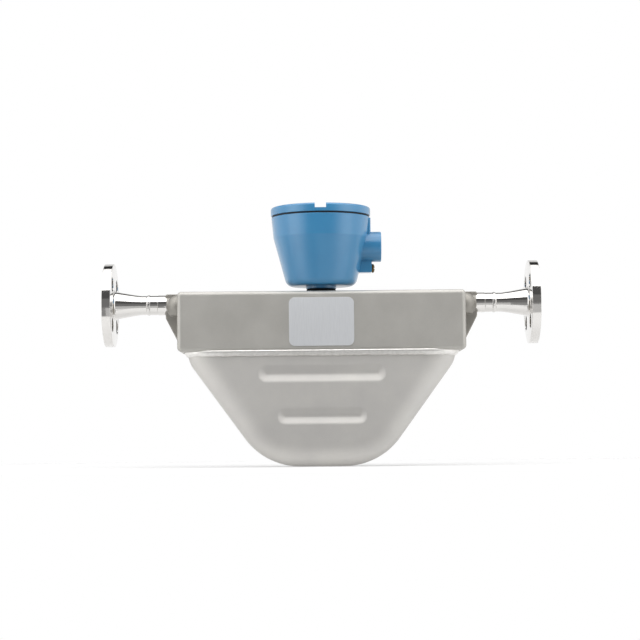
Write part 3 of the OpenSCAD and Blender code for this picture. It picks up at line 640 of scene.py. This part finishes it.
def stubPiece(s, caseEnd, sign):
    # the stub is turned bright from the web outwards, with a step where it is faced for the weld
    step = s["stubEnd"] - s["prepLength"]
    inner = caseEnd + s["webReach"] - s["lap"]
    profile = softCorners([
        (inner, s["hole"], 0),
        (inner, s["stubRadius"], 0),
        (step, s["stubRadius"], s["stubEdge"]),
        (step, s["prepRadius"] - s["prepDip"], s["prepDipRound"]),
        (step + s["prepRise"], s["prepRadius"], s["prepRound"]),
        (s["stubEnd"], s["prepRadius"], 0),
        (s["stubEnd"], s["hole"], 0),
    ], 4)
    name = "inletStub" if sign > 0 else "outletStub"
    piece = addPiece(name, *turned(profile, s["stubSides"], aboutX(midX, sign=-sign)), polished)


def manifolds(s):
    caseEnd = midX - span("upper_case", 0)[0]
    inlet = castBranch(s, caseEnd)
    outlet = addObject("outletManifold", inlet.data.copy())
    for vert in outlet.data.vertices:
        vert.co.x = 2 * midX * mm - vert.co.x
    outlet.data.flip_normals()
    inlet.name = "inletManifold"
    for casting, node, sign in ((inlet, "inlet_manifold", 1), (outlet, "outlet_manifold", -1)):
        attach(casting, "meter")
        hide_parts(node)
        stubPiece(s, caseEnd, sign)


manifolds(manifoldSettings)
print("manifolds made")


# upper case: a welded box with rounded edges

boxSettings = {"edge": 4.5, "steps": 7}


def roundedBox(low, high, radius, steps):
    # grid points of a box whose edges and corners are rounded
    centre = [(a + b) / 2 for a, b in zip(low, high)]
    half = [(b - a) / 2 for a, b in zip(low, high)]
    ring = []
    for k in range(4 * steps + 4):
        quarter, step = divmod(k, steps + 1)
        angle = math.pi / 2 * (quarter + step / steps)
        sx = 1 if quarter in (0, 3) else -1
        sy = 1 if quarter in (0, 1) else -1
        ring.append((sx, sy, math.cos(angle), math.sin(angle)))
    levels = []
    for k in range(2 * steps + 2):
        top, step = divmod(k, steps + 1)
        angle = -math.pi / 2 + math.pi / 2 * (top + step / steps)
        levels.append((1 if top else -1, math.cos(angle), math.sin(angle)))
    verts = []
    for sz, flat, rise in levels:
        for sx, sy, cx, cy in ring:
            verts.append((centre[0] + sx * (half[0] - radius) + radius * flat * cx,
                          centre[1] + sy * (half[1] - radius) + radius * flat * cy,
                          centre[2] + sz * (half[2] - radius) + radius * rise))
    count = len(ring)
    faces = gridFaces(len(levels), count, rings=True)
    faces.append(tuple(range(count - 1, -1, -1)))
    faces.append(tuple((len(levels) - 1) * count + k for k in range(count)))
    return verts, faces


def upperCase(s):
    low, high = (Vector(v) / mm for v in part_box("upper_case"))
    case = addPiece("upperCase", *roundedBox(low, high, s["edge"], s["steps"]), blastedPlate, "upper_case",
                    smooth=50)
    modifier = case.modifiers.new("weights", "WEIGHTED_NORMAL")
    modifier.keep_sharp = True


upperCase(boxSettings)


# lower case: two pressed half shells with their grooves

panSettings = {
    "length": 284,
    "depth": 62,
    "height": 121.5,
    "flat": 48,
    "heelRadius": 72,
    "hipRadius": 30,
    "shoulderWidth": 27,
    "shoulderDepth": 17,
    "top": -51.5,
    "hipSteps": 16,
    "sideSteps": 44,
    "heelSteps": 40,
    "flatSteps": 10,
    "shoulderSteps": 18,
    "wallRows": (0, 3, 7),  # rows of points on the straight wall
    "wallEnd": 2,  # the last row lies this far before the shoulder
    "topPitch": 3,
    "pitch": 1.2,
    "rowShare": 0.87,  # rows lie closer than their points, as equal triangles need
    "netTolerance": 0.01,
    "grooves": [
        {"length": 134, "height": 17, "below": 23.7, "depth": 3.4},
        {"length": 93.5, "height": 15.8, "below": 68.7, "depth": 3.2},
    ],
    # a groove's section, in shares of its half height
    "grooveReach": 1.15,
    "slopeStart": 1.05,
    "slopeWidth": 0.16,
    "floorRound": 0.03,
    "lipRound": 3,
    "slopeStraight": 2,
}


def panOutline(s, inset):
    # U-shaped outline (x, z) about the middle, from the left top to the right top, moved in by inset
    hip = Vector((s["length"] / 2 - s["hipRadius"], s["top"]))
    heel = Vector((s["flat"] / 2, s["top"] - s["height"] + s["heelRadius"]))
    gap = hip - heel
    slope = math.atan2(gap.y, gap.x) + math.asin((s["heelRadius"] - s["hipRadius"]) / gap.length)
    half = []
    for k in range(s["hipSteps"] + 1):
        angle = (slope - math.pi / 2) * k / s["hipSteps"]
        half.append(hip + (s["hipRadius"] - inset) * Vector((math.cos(angle), math.sin(angle))))
    heelStart = heel + (s["heelRadius"] - inset) * Vector((math.sin(slope), -math.cos(slope)))
    straight = half[-1]
    for k in range(1, s["sideSteps"]):
        half.append(straight.lerp(heelStart, k / s["sideSteps"]))
    for k in range(s["heelSteps"] + 1):
        angle = slope - math.pi / 2 + (-math.pi / 2 - (slope - math.pi / 2)) * k / s["heelSteps"]
        half.append(heel + (s["heelRadius"] - inset) * Vector((math.cos(angle), math.sin(angle))))
    bottom = half[-1].y
    for k in range(1, s["flatSteps"]):
        half.append(Vector((s["flat"] / 2 * (1 - k / s["flatSteps"]), bottom)))
    right = [(v.x, v.y) for v in half]
    return [(-x, z) for x, z in right] + [(0, bottom)] + right[::-1]


def grooveDepth(s, x, z):
    # how far the panel is pressed in at this place: straight slopes with a rounded floor and soft lips
    total = 0
    for g in s["grooves"]:
        along = max(abs(x) - (g["length"] - g["height"]) / 2, 0)
        across = z - (s["top"] - g["below"])
        away = math.hypot(along, across) / (g["height"] / 2)
        if away < s["grooveReach"]:
            floor = math.sqrt(away * away + s["floorRound"])
            rise = (s["slopeStart"] - floor) / s["slopeWidth"]
            if rise <= s["slopeStraight"]:
                rise = math.log1p(math.exp(s["lipRound"] * rise)) / s["lipRound"]
            total += g["depth"] * s["slopeWidth"] * rise
    return total


def panelNet(s, ring):
    # flat points (x, z) and triangles of a fine net inside the ring, which the top edge closes
    edge = [Vector(p) for p in ring]
    low = min(p.y for p in edge)
    wide = max(p.x for p in edge)
    topSteps = int(2 * wide / s["topPitch"])
    points = edge + [Vector((wide - 2 * wide * k / topSteps, s["top"])) for k in range(1, topSteps)]
    rim = len(points)
    z = s["top"] - s["pitch"] / 2
    row = 0
    while z > low:
        x = -wide + (row % 2) * s["pitch"] / 2
        while x < wide:
            points.append(Vector((x, z)))
            x += s["pitch"]
        z -= s["pitch"] * s["rowShare"]
        row += 1
    loop = [(k, (k + 1) % rim) for k in range(rim)]
    net = delaunay_2d_cdt(points, loop, [], 1, s["netTolerance"])  # 1 keeps what is inside the loop
    return net[0], net[2]


def halfShell(name, node, sign, s):
    half = s["depth"] / 2
    levels = [(depth, 0) for depth in (*s["wallRows"], half - s["shoulderDepth"] - s["wallEnd"])]
    for k in range(s["shoulderSteps"] + 1):
        angle = math.pi / 2 * k / s["shoulderSteps"]
        levels.append((half - s["shoulderDepth"] * (1 - math.sin(angle)),
                       s["shoulderWidth"] * (1 - math.cos(angle))))
    verts = []
    for depth, inset in levels:
        ring = panOutline(s, inset)
        verts += [(midX + x, sign * depth, z) for x, z in ring]
    faces = gridFaces(len(levels), len(ring))
    points, triangles = panelNet(s, ring)
    base = len(verts)
    for p in points:
        verts.append((midX + p.x, sign * (half - grooveDepth(s, p.x, p.y)), p.y))
    faces += [tuple(base + v for v in triangle) for triangle in triangles]
    shell = addPiece(name, verts, faces, blastedSheet, node, smooth=70)


halfShell("lowerCaseFront", "lower_case_front", -1, panSettings)
halfShell("lowerCaseRear", "lower_case_rear", 1, panSettings)
print("cases made")


# welds of the cases

seamSettings = {
    "halfWidth": 3,
    "height": 0.6,
    "sunk": 0.05,
    "ripplePitch": 1.9,
    "ripple": 0.16,
    "wander": 0.5,
    "wanderLength": 9,
    "spacing": 0.6,
    "across": 8,
    "inside": (0, -90),  # a point inside the outline, which the bead stands away from
}


def seamWeld(s, pan):
    # a bead over the joint of the two half shells, with its ripples
    line = [Vector((x, z)) for x, z in panOutline(pan, 0)]
    dense = denseLine(line, s["spacing"]) + [line[-1]]
    verts = []
    run = 0
    for k, p in enumerate(dense):
        heading = (dense[min(k + 1, len(dense) - 1)] - dense[max(k - 1, 0)]).normalized()
        out = Vector((heading.y, -heading.x))
        if k:
            run += (p - dense[k - 1]).length
        drift = noise.noise(Vector((run / s["wanderLength"], 0, 0))) * s["wander"]
        ripple = abs(math.sin(math.pi * run / s["ripplePitch"])) * s["ripple"]
        for n in range(s["across"] + 1):
            t = 2 * n / s["across"] - 1
            rise = (s["height"] - ripple) * (1 - t * t) - s["sunk"]
            spot = p + out * rise * (1 if out.dot(p - Vector(s["inside"])) > 0 else -1)
            verts.append((midX + spot.x, s["halfWidth"] * t + drift, spot.y))
    piece = addPiece("caseSeamWeld", verts, gridFaces(len(dense), s["across"] + 1), weld, "case_seam_weld",
                     smooth=60)


seamWeld(seamSettings, panSettings)


filletSettings = {
    # the section is (away from the shell, down)
    "section": [(2.6, -1.4), (3.35, -0.5), (3.6, 0.6), (3.3, 2.0), (2.5, 3.4), (1.4, 4.6), (0.4, 5.3),
                (-0.3, 5.5)],
    "wander": 0.5,
    "wanderLength": 9,
    "quiver": 0.4,  # share of a second, shorter wander
    "quiverLength": 2.6,
    "ripplePitch": 2.6,
    "ripple": 0.1,
    "spacing": 0.8,
    "cornerSteps": 10,
    "reach": 3,  # points each way that give the heading
}


def filletLoop(s, pan):
    # the loop round the top of the lower case, from the middle of one long side
    half = pan["depth"] / 2
    corner = [Vector((0, half))]
    for k in range(s["cornerSteps"], -1, -1):
        angle = math.pi / 2 * k / s["cornerSteps"]
        corner.append(Vector((pan["length"] / 2 - pan["shoulderWidth"] * (1 - math.cos(angle)),
                              half - pan["shoulderDepth"] * (1 - math.sin(angle)))))
    corner.append(Vector((pan["length"] / 2, 0)))
    loop = corner[:-1] + [Vector((p.x, -p.y)) for p in corner[:0:-1]] + [Vector((0, -half))]
    loop += [Vector((-p.x, -p.y)) for p in loop[1:-1]]
    return denseLine(loop + loop[:1], s["spacing"])


def filletWeld(s, pan):
    # the weld that runs round the top of the lower case
    dense = filletLoop(s, pan)
    total = len(dense)
    radius = total * s["spacing"] / (2 * math.pi)
    count = len(s["section"])
    verts = []
    for k, p in enumerate(dense):
        heading = (dense[(k + s["reach"]) % total] - dense[k - s["reach"]]).normalized()
        out = Vector((heading.y, -heading.x))
        if out.dot(p) < 0:
            out = -out
        turn = 2 * math.pi * k / total
        seat = Vector((math.cos(turn), math.sin(turn), 0)) * radius
        sag = noise.noise(seat / s["wanderLength"]) * s["wander"]
        sag += noise.noise(seat / s["quiverLength"]) * s["wander"] * s["quiver"]
        wave = abs(math.sin(math.pi * k * s["spacing"] / s["ripplePitch"])) * s["ripple"]
        for n, (away, drop) in enumerate(s["section"]):
            share = n / (count - 1)
            spot = p + out * (away - wave * math.sin(math.pi * share))
            verts.append((midX + spot.x, spot.y, pan["top"] - drop - sag * share))
    piece = addPiece("caseWeld", verts, gridFaces(total, count, True), weld, "case_weld", smooth=60)


filletWeld(filletSettings, panSettings)
print("case welds made")


# bare label plate

labelSettings = {"corner": 6.3, "cornerSteps": 12, "edge": 0.25}


def labelPlate(s):
    low, high = (Vector(v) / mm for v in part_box("label_plate"))
    corners = ((low.x, low.z), (high.x, low.z), (high.x, high.z), (low.x, high.z))
    ring = softCorners([(x, z, s["corner"]) for x, z in corners], s["cornerSteps"])
    plate = addPiece("labelPlate", *prism(ring, low.y, high.y, lambda a, b, w: (a, w, b)), label,
                     "label_plate")
    roundEdges(plate, s["edge"], 3, 60)
    smoothBelow(plate, 50)


labelPlate(labelSettings)


# neck

neckSettings = {
    "lowRadius": 16.7,
    "topRadius": 15.2,
    "spigotCase": 12,
    "spigotHousing": 11,
    "spigotEdge": 0.4,
    "bore": 8,
    "shoulder": 3.9,
    "edge": 0.35,
    "sides": 120,
}


def neckAdapter(s):
    low, high = span("neck_adapter", 2)
    caseTop = span("upper_case", 2)[1]
    shoulder = caseTop + s["shoulder"]
    profile = softCorners([
        (low, s["bore"], 0),
        (low, s["spigotCase"], s["spigotEdge"]),
        (caseTop, s["spigotCase"], 0),
        (caseTop, s["lowRadius"], s["edge"]),
        (shoulder, s["topRadius"], s["edge"]),
        (shoulder, s["spigotHousing"], 0),
        (high, s["spigotHousing"], s["spigotEdge"]),
        (high, s["bore"], 0),
    ], 4)
    piece = addPiece("neckAdapter", *turned(profile, s["sides"], aboutZ(midX, 0)), blackOxide,
                     "neck_adapter")


neckAdapter(neckSettings)


# housing body

housingSettings = {
    "low": 18.7,
    "joint": 92.5,
    "bandHeight": 21.9,
    "topRadius": 52.8,
    "bandRadius": 50.7,
    "bandBlend": 4,
    "baseRadius": 36.75,
    "heel": 8.5,
    "edge": 0.8,
    "sides": 144,
    "wall": 5,
    "floorWiden": 1.3,
    "insideRound": 3,
    "threadRelief": 0.6,
    "threadRadius": 47,
    "threadDepth": 13.5,
    "threadEnd": 0.8,
    "threadHeight": 0.9,
    "mouthWiden": 1.8,
    "pitch": 2,
    "bossRadius": 16.25,
    "bossReach": 64.6,
    "bossAt": 60.7,
    "bossEdge": 1.1,
    "bossSides": 96,
    "conduitRadius": 9.3,
    "conduitPitch": 1.8,
    "conduitStart": 46,
    "conduitEnd": 1,
    "conduitWiden": 2,
    "holeSides": 72,
    "root": 20,  # where the rib, the lug and the conduit start, inside the wall
    "ribReach": 53.4,
    "ribWidth": 20,
    "ribDrop": 1.2,
    "lugReach": 54.3,
    "lugWidth": 13,
    "lugLow": 33,
    "lugRound": 1.6,
    "collarRadius": 16.2,
    "collarLow": 15.9,
    "collarEdge": 0.5,
    "collarLap": 2,
    "spigotHole": 11.2,
    "overrun": 1,
}


def housingOutside(s):
    # the turned body with its boss, its rib, its ground lug and the collar over the neck
    outside = softCorners([
        (s["low"], 0, 0),
        (s["low"], s["baseRadius"], s["heel"]),
        (s["joint"] - s["bandHeight"], s["bandRadius"], s["bandBlend"]),
        (s["joint"], s["topRadius"], s["edge"]),
        (s["joint"], 0, 0),
    ], 8)
    body = turnedSolid("housingBody", outside, s["sides"], aboutZ(midX, 0))
    boss = softCorners([(0, 0, 0), (0, s["bossRadius"], 0), (s["bossReach"], s["bossRadius"], s["bossEdge"]),
                        (s["bossReach"], 0, 0)], 5)
    boolean(body, turnedSolid("boss", boss, s["bossSides"], aboutX(midX, 0, s["bossAt"])), "UNION")
    root, half = s["root"], s["ribWidth"] / 2
    rib = softCorners([(root, -half, 0), (s["ribReach"], -half, s["lugRound"]),
                       (s["ribReach"], half, s["lugRound"]), (root, half, 0)], 5)
    boolean(body, looseMesh("rib", *prism(rib, s["bossAt"], s["joint"] - s["ribDrop"],
                                          lambda a, b, w: (midX + a, b, w))), "UNION")
    half = s["lugWidth"] / 2
    lug = softCorners([(root, s["lugLow"], 0), (s["lugReach"], s["lugLow"], s["lugRound"]),
                       (s["lugReach"], s["bossAt"], 0), (root, s["bossAt"], 0)], 5)
    boolean(body, looseMesh("lug", *prism(lug, -half, half, lambda a, b, w: (midX + a, w, b))), "UNION")
    top = s["low"] + s["collarLap"]
    collar = softCorners([(s["collarLow"], 0, 0), (s["collarLow"], s["collarRadius"], s["collarEdge"]),
                          (top, s["collarRadius"], 0), (top, 0, 0)], 4)
    boolean(body, turnedSolid("collar", collar, s["bossSides"], aboutZ(midX, 0)), "UNION")
    return body


def cutHousing(body, s):
    # the room under the cover, the threaded conduit entry and the hole for the neck's spigot
    floor = s["low"] + s["wall"]
    past = s["overrun"]
    low, high = s["joint"] - s["threadDepth"], s["joint"] - s["threadEnd"]
    inside = softCorners([
        (floor, 0, 0),
        (floor, s["baseRadius"] - s["wall"] + s["floorWiden"], s["insideRound"]),
        (s["joint"] - s["bandHeight"], s["bandRadius"] - s["wall"], s["insideRound"]),
        (low, s["bandRadius"] - s["wall"] + s["threadRelief"], 0),
        *threadWall(low, high, s["threadRadius"]),
        (s["joint"] + past, s["threadRadius"] + s["mouthWiden"], 0),
        (s["joint"] + past, 0, 0),
    ], 5)
    place = threaded(aboutZ(midX, 0), s["threadRadius"], low, high, s["threadHeight"], s["pitch"])
    boolean(body, turnedSolid("cavity", inside, s["sides"], place))
    radius, start, end = s["conduitRadius"], s["conduitStart"], s["bossReach"] - s["conduitEnd"]
    mouth = s["bossReach"] + past
    conduit = [(s["root"], 0), (s["root"], radius), (start, radius)]
    conduit += [point[:2] for point in threadWall(start + threadSettings["step"], end, radius)]
    conduit += [(mouth, radius + s["conduitWiden"]), (mouth, 0)]
    place = threaded(aboutX(midX, 0, s["bossAt"]), radius, start, end, s["threadHeight"], s["conduitPitch"])
    boolean(body, turnedSolid("conduit", conduit, s["holeSides"], place))
    low, high = s["collarLow"] - past, floor + past
    hole = [(low, 0), (low, s["spigotHole"]), (high, s["spigotHole"]), (high, 0)]
    boolean(body, turnedSolid("spigotHole", hole, s["holeSides"], aboutZ(midX, 0)))


def housingBody(s):
    body = housingOutside(s)
    cutHousing(body, s)
    setMaterial(body, enamel)
    body.name = "housingBody"
    smoothBelow(body, 30)
    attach(body, "meter")
    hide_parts("housing_body")


housingBody(housingSettings)
print("housing made")


# cover, which unscrews

coverSettings = {
    "edge": 2.4,
    "rimInner": 45,
    "rimRound": 1.1,
    "recess": 5.2,
    "recessRound": 0.8,
    "notch": 11.8,
    "disc": 5.4,
    "discRound": 1,
    "seatEdge": 0.5,
    "skirt": 12,
    "skirtWall": 4.5,
    "skirtRadius": 46.7,
    "skirtLead": 0.5,
    "skirtEdge": 0.4,
    "threadStart": 2,
    "threadFade": 1.5,
    "threadEnd": 0.6,
    "threadHeight": 0.9,
    "pitch": 2,
    "sides": 180,
    "overrun": 2,
}


def coverPiece(s):
    low, high = span("housing_cover", 2)
    radius = extent("housing_cover", 1) / 2
    seat = low + s["skirt"]
    discTop = high - s["recess"]
    discLow = discTop - s["disc"]
    skirt = s["skirtRadius"]
    profile = [
        (discTop, 0, 0),
        (discTop, s["rimInner"], s["recessRound"]),
        (high, s["rimInner"], s["rimRound"]),
        (high, radius, s["edge"]),
        (seat, radius, s["seatEdge"]),
        (seat, skirt, 0),
        *threadWall(seat - s["threadStart"], low + s["threadEnd"], skirt),
        (low, skirt - s["skirtLead"], 0),
        (low, skirt - s["skirtWall"], s["skirtEdge"]),
        (discLow, skirt - s["skirtWall"], s["discRound"]),
        (discLow, 0, 0),
    ]
    place = threaded(aboutZ(midX, 0), skirt, low, seat - s["threadFade"], -s["threadHeight"], s["pitch"])
    cover = addPiece("housingCover", *turned(softCorners(profile, 6), s["sides"], place, closed=False),
                     enamel, "housing_cover", body="cover")
    for side in (-1, 1):
        middle = side * radius
        cutBox(cover, "notch", (midX - s["notch"] / 2, middle - radius / 2, discTop),
               (midX + s["notch"] / 2, middle + radius / 2, high + s["overrun"]))
    smoothBelow(cover, 30)


coverPiece(coverSettings)


# seal under the cover's lip

sealSettings = {"inner": 47.5, "bulge": 0.4, "sides": 180}


def sealRing(s):
    low, high = span("cover_seal", 2)
    outer = extent("cover_seal", 1) / 2
    bulge = (high - low) * s["bulge"]
    ring = softCorners([(low, s["inner"], 0), (low, outer, bulge), (high, outer, bulge),
                        (high, s["inner"], 0)], 6)
    seal = addPiece("coverSeal", *turned(ring, s["sides"], aboutZ(midX, 0)), sealRubber, "cover_seal",
                    body="seal")


sealRing(sealSettings)


# ground screw

screwSettings = {
    "headRadius": 4.7,
    "headHeight": 3.3,
    "headEdge": 0.3,
    "headWall": 1.3,
    "headSteps": 8,
    "shankRadius": 2,
    "shankLength": 9,
    "shankLead": 0.4,
    "tipLength": 0.5,
    "slotWidth": 1.2,
    "slotDepth": 1.2,
    "slotReach": 6,
    "height": 37.6,
    "overrun": 1,
    "sides": 64,
}


def groundScrew(s):
    start = span("ground_screw", 0)[0] + s["shankLength"]
    tip, shank = -s["shankLength"], s["shankRadius"]
    profile = [(tip, 0), (tip, shank - s["shankLead"]), (tip + s["tipLength"], shank), (0, shank),
               (0, s["headRadius"] - s["headEdge"]), (s["headEdge"], s["headRadius"])]
    for k in range(s["headSteps"] + 1):
        angle = math.pi / 2 * k / s["headSteps"]
        profile.append((s["headWall"] + (s["headHeight"] - s["headWall"]) * math.sin(angle),
                        s["headRadius"] * math.cos(angle)))
    place = aboutX(start, 0, s["height"])
    screw = addPiece("groundScrew", *turned(profile, s["sides"], place, closed=False), agedBrass,
                     "ground_screw")
    top = start + s["headHeight"]
    cutBox(screw, "slot", (top - s["slotDepth"], -s["slotReach"], s["height"] - s["slotWidth"] / 2),
           (top + s["overrun"], s["slotReach"], s["height"] + s["slotWidth"] / 2))
    smoothBelow(screw, 35)


groundScrew(screwSettings)
print("cover, seal and screw made")


# what is inside keeps its solids, with its own finishes

insideFinishes = {
    platedBrass: ["feedthrough"],
    pottedBlock: ["core_module"],
    zincScrew: ["module_screws"],
    greenNylon: ["terminal_block"],
    drawnTube: ["flow_tube_front", "flow_tube_rear", "inlet_braces", "outlet_braces", "tube_saddles"],
    woundCopper: ["drive_coil", "inlet_pickoff_coil", "outlet_pickoff_coil"],
    nickelMagnet: ["drive_magnet", "inlet_pickoff_magnet", "outlet_pickoff_magnet"],
    whiteCeramic: ["temperature_sensor"],
    boardLacquer: ["lead_board"],
    leadFilm: ["coil_leads"],
}


def dressNode(name, material):
    setMaterial(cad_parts[name], material)
    smoothBelow(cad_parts[name], 30)


for finish, names in insideFinishes.items():
    for nodeName in names:
        dressNode(nodeName, finish)
print("inner parts dressed")


# floor, light and backdrop

white = (1, 1, 1, 1)
black = (0, 0, 0, 1)

studioSettings = {
    "floorGap": 0.6,
    "floorFront": -270,
    "floorBack": 420,
    "floorSide": 950,
    "floorColour": "#bcbcbc",
    "floorRoughness": 0.9,
    "floorLift": 0.36,
    "fillLevel": 1.0,
    # a painted shadow: a dim panel on the floor under and in front of the object, which only reflections see
    "paintedShadowWide": 130,
    "paintedShadowFront": -230,
    "paintedShadowBack": -58,
    "paintedShadowLevel": 0.5,
    "paintedShadowLift": 0.2,
    "flagAway": 3000,
    "flagSide": 3500,
}

# lamps: place in mm from the object's middle, size in mm, watts
lamps = [
    ("overhead", (0, -360, 1100), (3000, 1900), 26),
    ("sideLeft", (-1350, -850, 150), (1300, 1500), 6),
    ("sideRight", (1350, -850, 150), (1300, 1500), 4.5),
]

# flags: from and to, in degrees round the flow axis and up from the camera's side,
# left and right end as shares of flagSide, and level
flags = [
    ("darkRoomLow", -10, 16, -1, 1, 0.19),
    ("darkRoomHigh", 16, 40, -1, 1, 0.09),
    ("frontTableLeft", -33, -7, -1, -0.17, 0.3),
    ("frontTableRight", -33, -7, -0.17, 1, 0.6),
    ("ceilingGap", 103, 140, -1, 1, 0.03),
    ("ceilingEnd", 140, 172, -1, 1, 0.72),
]


def seenRays(tree):
    # camera, glossy and transmission rays all meet the same white background
    path = addNode(tree, "ShaderNodeLightPath").outputs
    seen = path["Is Camera Ray"]
    for ray in ("Is Glossy Ray", "Is Transmission Ray"):
        seen = addNode(tree, "ShaderNodeMath", {"operation": "MAXIMUM"},
                       links={0: seen, 1: path[ray]}).outputs["Value"]
    return seen


def stagePlane(name, left, right, nearEdge, farEdge, material):
    # a plane from left to right, between a near and a far edge of (y, z)
    corners = [(left, *nearEdge), (right, *nearEdge), (right, *farEdge), (left, *farEdge)]
    plane = meshObject(name, corners, [(0, 1, 2, 3)])
    setMaterial(plane, material)
    return plane


def floorHeight(s):
    return panSettings["top"] - panSettings["height"] - s["floorGap"]


def makeFloor(s):
    material, tree, shader = newMaterial("paleStudioFloor", {
        "Base Color": linear(s["floorColour"]), "Roughness": s["floorRoughness"],
        "Specular IOR Level": 0.0, "Emission Color": white})
    lift = addNode(tree, "ShaderNodeMath", {"operation": "MULTIPLY"}, {1: s["floorLift"]},
                   {0: seenRays(tree)})
    tree.links.new(lift.outputs["Value"], shader.inputs["Emission Strength"])
    z = floorHeight(s)
    stagePlane("floor", midX - s["floorSide"], midX + s["floorSide"], (s["floorFront"], z),
               (s["floorBack"], z), material)


def makeFlag(name, left, right, nearEdge, farEdge, level):
    material = newMaterial(name, {"Base Color": black, "Specular IOR Level": 0.0,
                                  "Emission Color": white, "Emission Strength": level})[0]
    panel = stagePlane(name, left, right, nearEdge, farEdge, material)
    panel.visible_camera = False
    panel.visible_shadow = False
    return panel


def makeFlags(s):
    # matt panels that the metal shows: the dark room behind the camera, a gap overhead, and a painted shadow
    # of the object on the table
    away, side = s["flagAway"], s["flagSide"]
    for name, low, high, left, right, level in flags:
        edges = []
        for angle in (math.radians(low), math.radians(high)):
            if high < 90:
                edges.append((-away, away * math.tan(angle)))
            else:
                edges.append((-away * math.cos(angle), away * math.sin(angle)))
        makeFlag(name, midX + left * side, midX + right * side, *edges, level)
    # painted shadow: a dim panel just above the floor, unseen by the camera and by diffuse light, darkens
    # the floor that the metal reflects under the object
    z = floorHeight(s) + s["paintedShadowLift"]
    shadowPanel = makeFlag("paintedFloorShadow", midX - s["paintedShadowWide"], midX + s["paintedShadowWide"],
                     (s["paintedShadowFront"], z), (s["paintedShadowBack"], z), s["paintedShadowLevel"])
    shadowPanel.visible_diffuse = False


def makeWorld(s):
    world = bpy.data.worlds.new("studio")
    bpy.context.scene.world = world
    world.use_nodes = True
    tree = world.node_tree
    fill = (s["fillLevel"],) * 3 + (1,)
    mix = addNode(tree, "ShaderNodeMix", {"data_type": "RGBA"}, {"A": fill, "B": white}, {0: seenRays(tree)})
    tree.links.new(mix.outputs["Result"], tree.nodes["Background"].inputs["Color"])


def makeLamps():
    for name, place, size, power in lamps:
        data = bpy.data.lights.new(name, "AREA")
        data.shape = "RECTANGLE"
        data.size, data.size_y = (v * mm for v in size)
        data.energy = power
        lamp = addObject(name, data)
        lamp.location = (Vector(place) + Vector((midX, 0, 0))) * mm
        if name != "overhead":
            lamp.rotation_euler = (-Vector(place)).to_track_quat("-Z", "Y").to_euler()


makeFloor(studioSettings)
makeFlags(studioSettings)
makeWorld(studioSettings)
makeLamps()
bpy.context.scene.view_settings.view_transform = "Standard"
print("studio made")
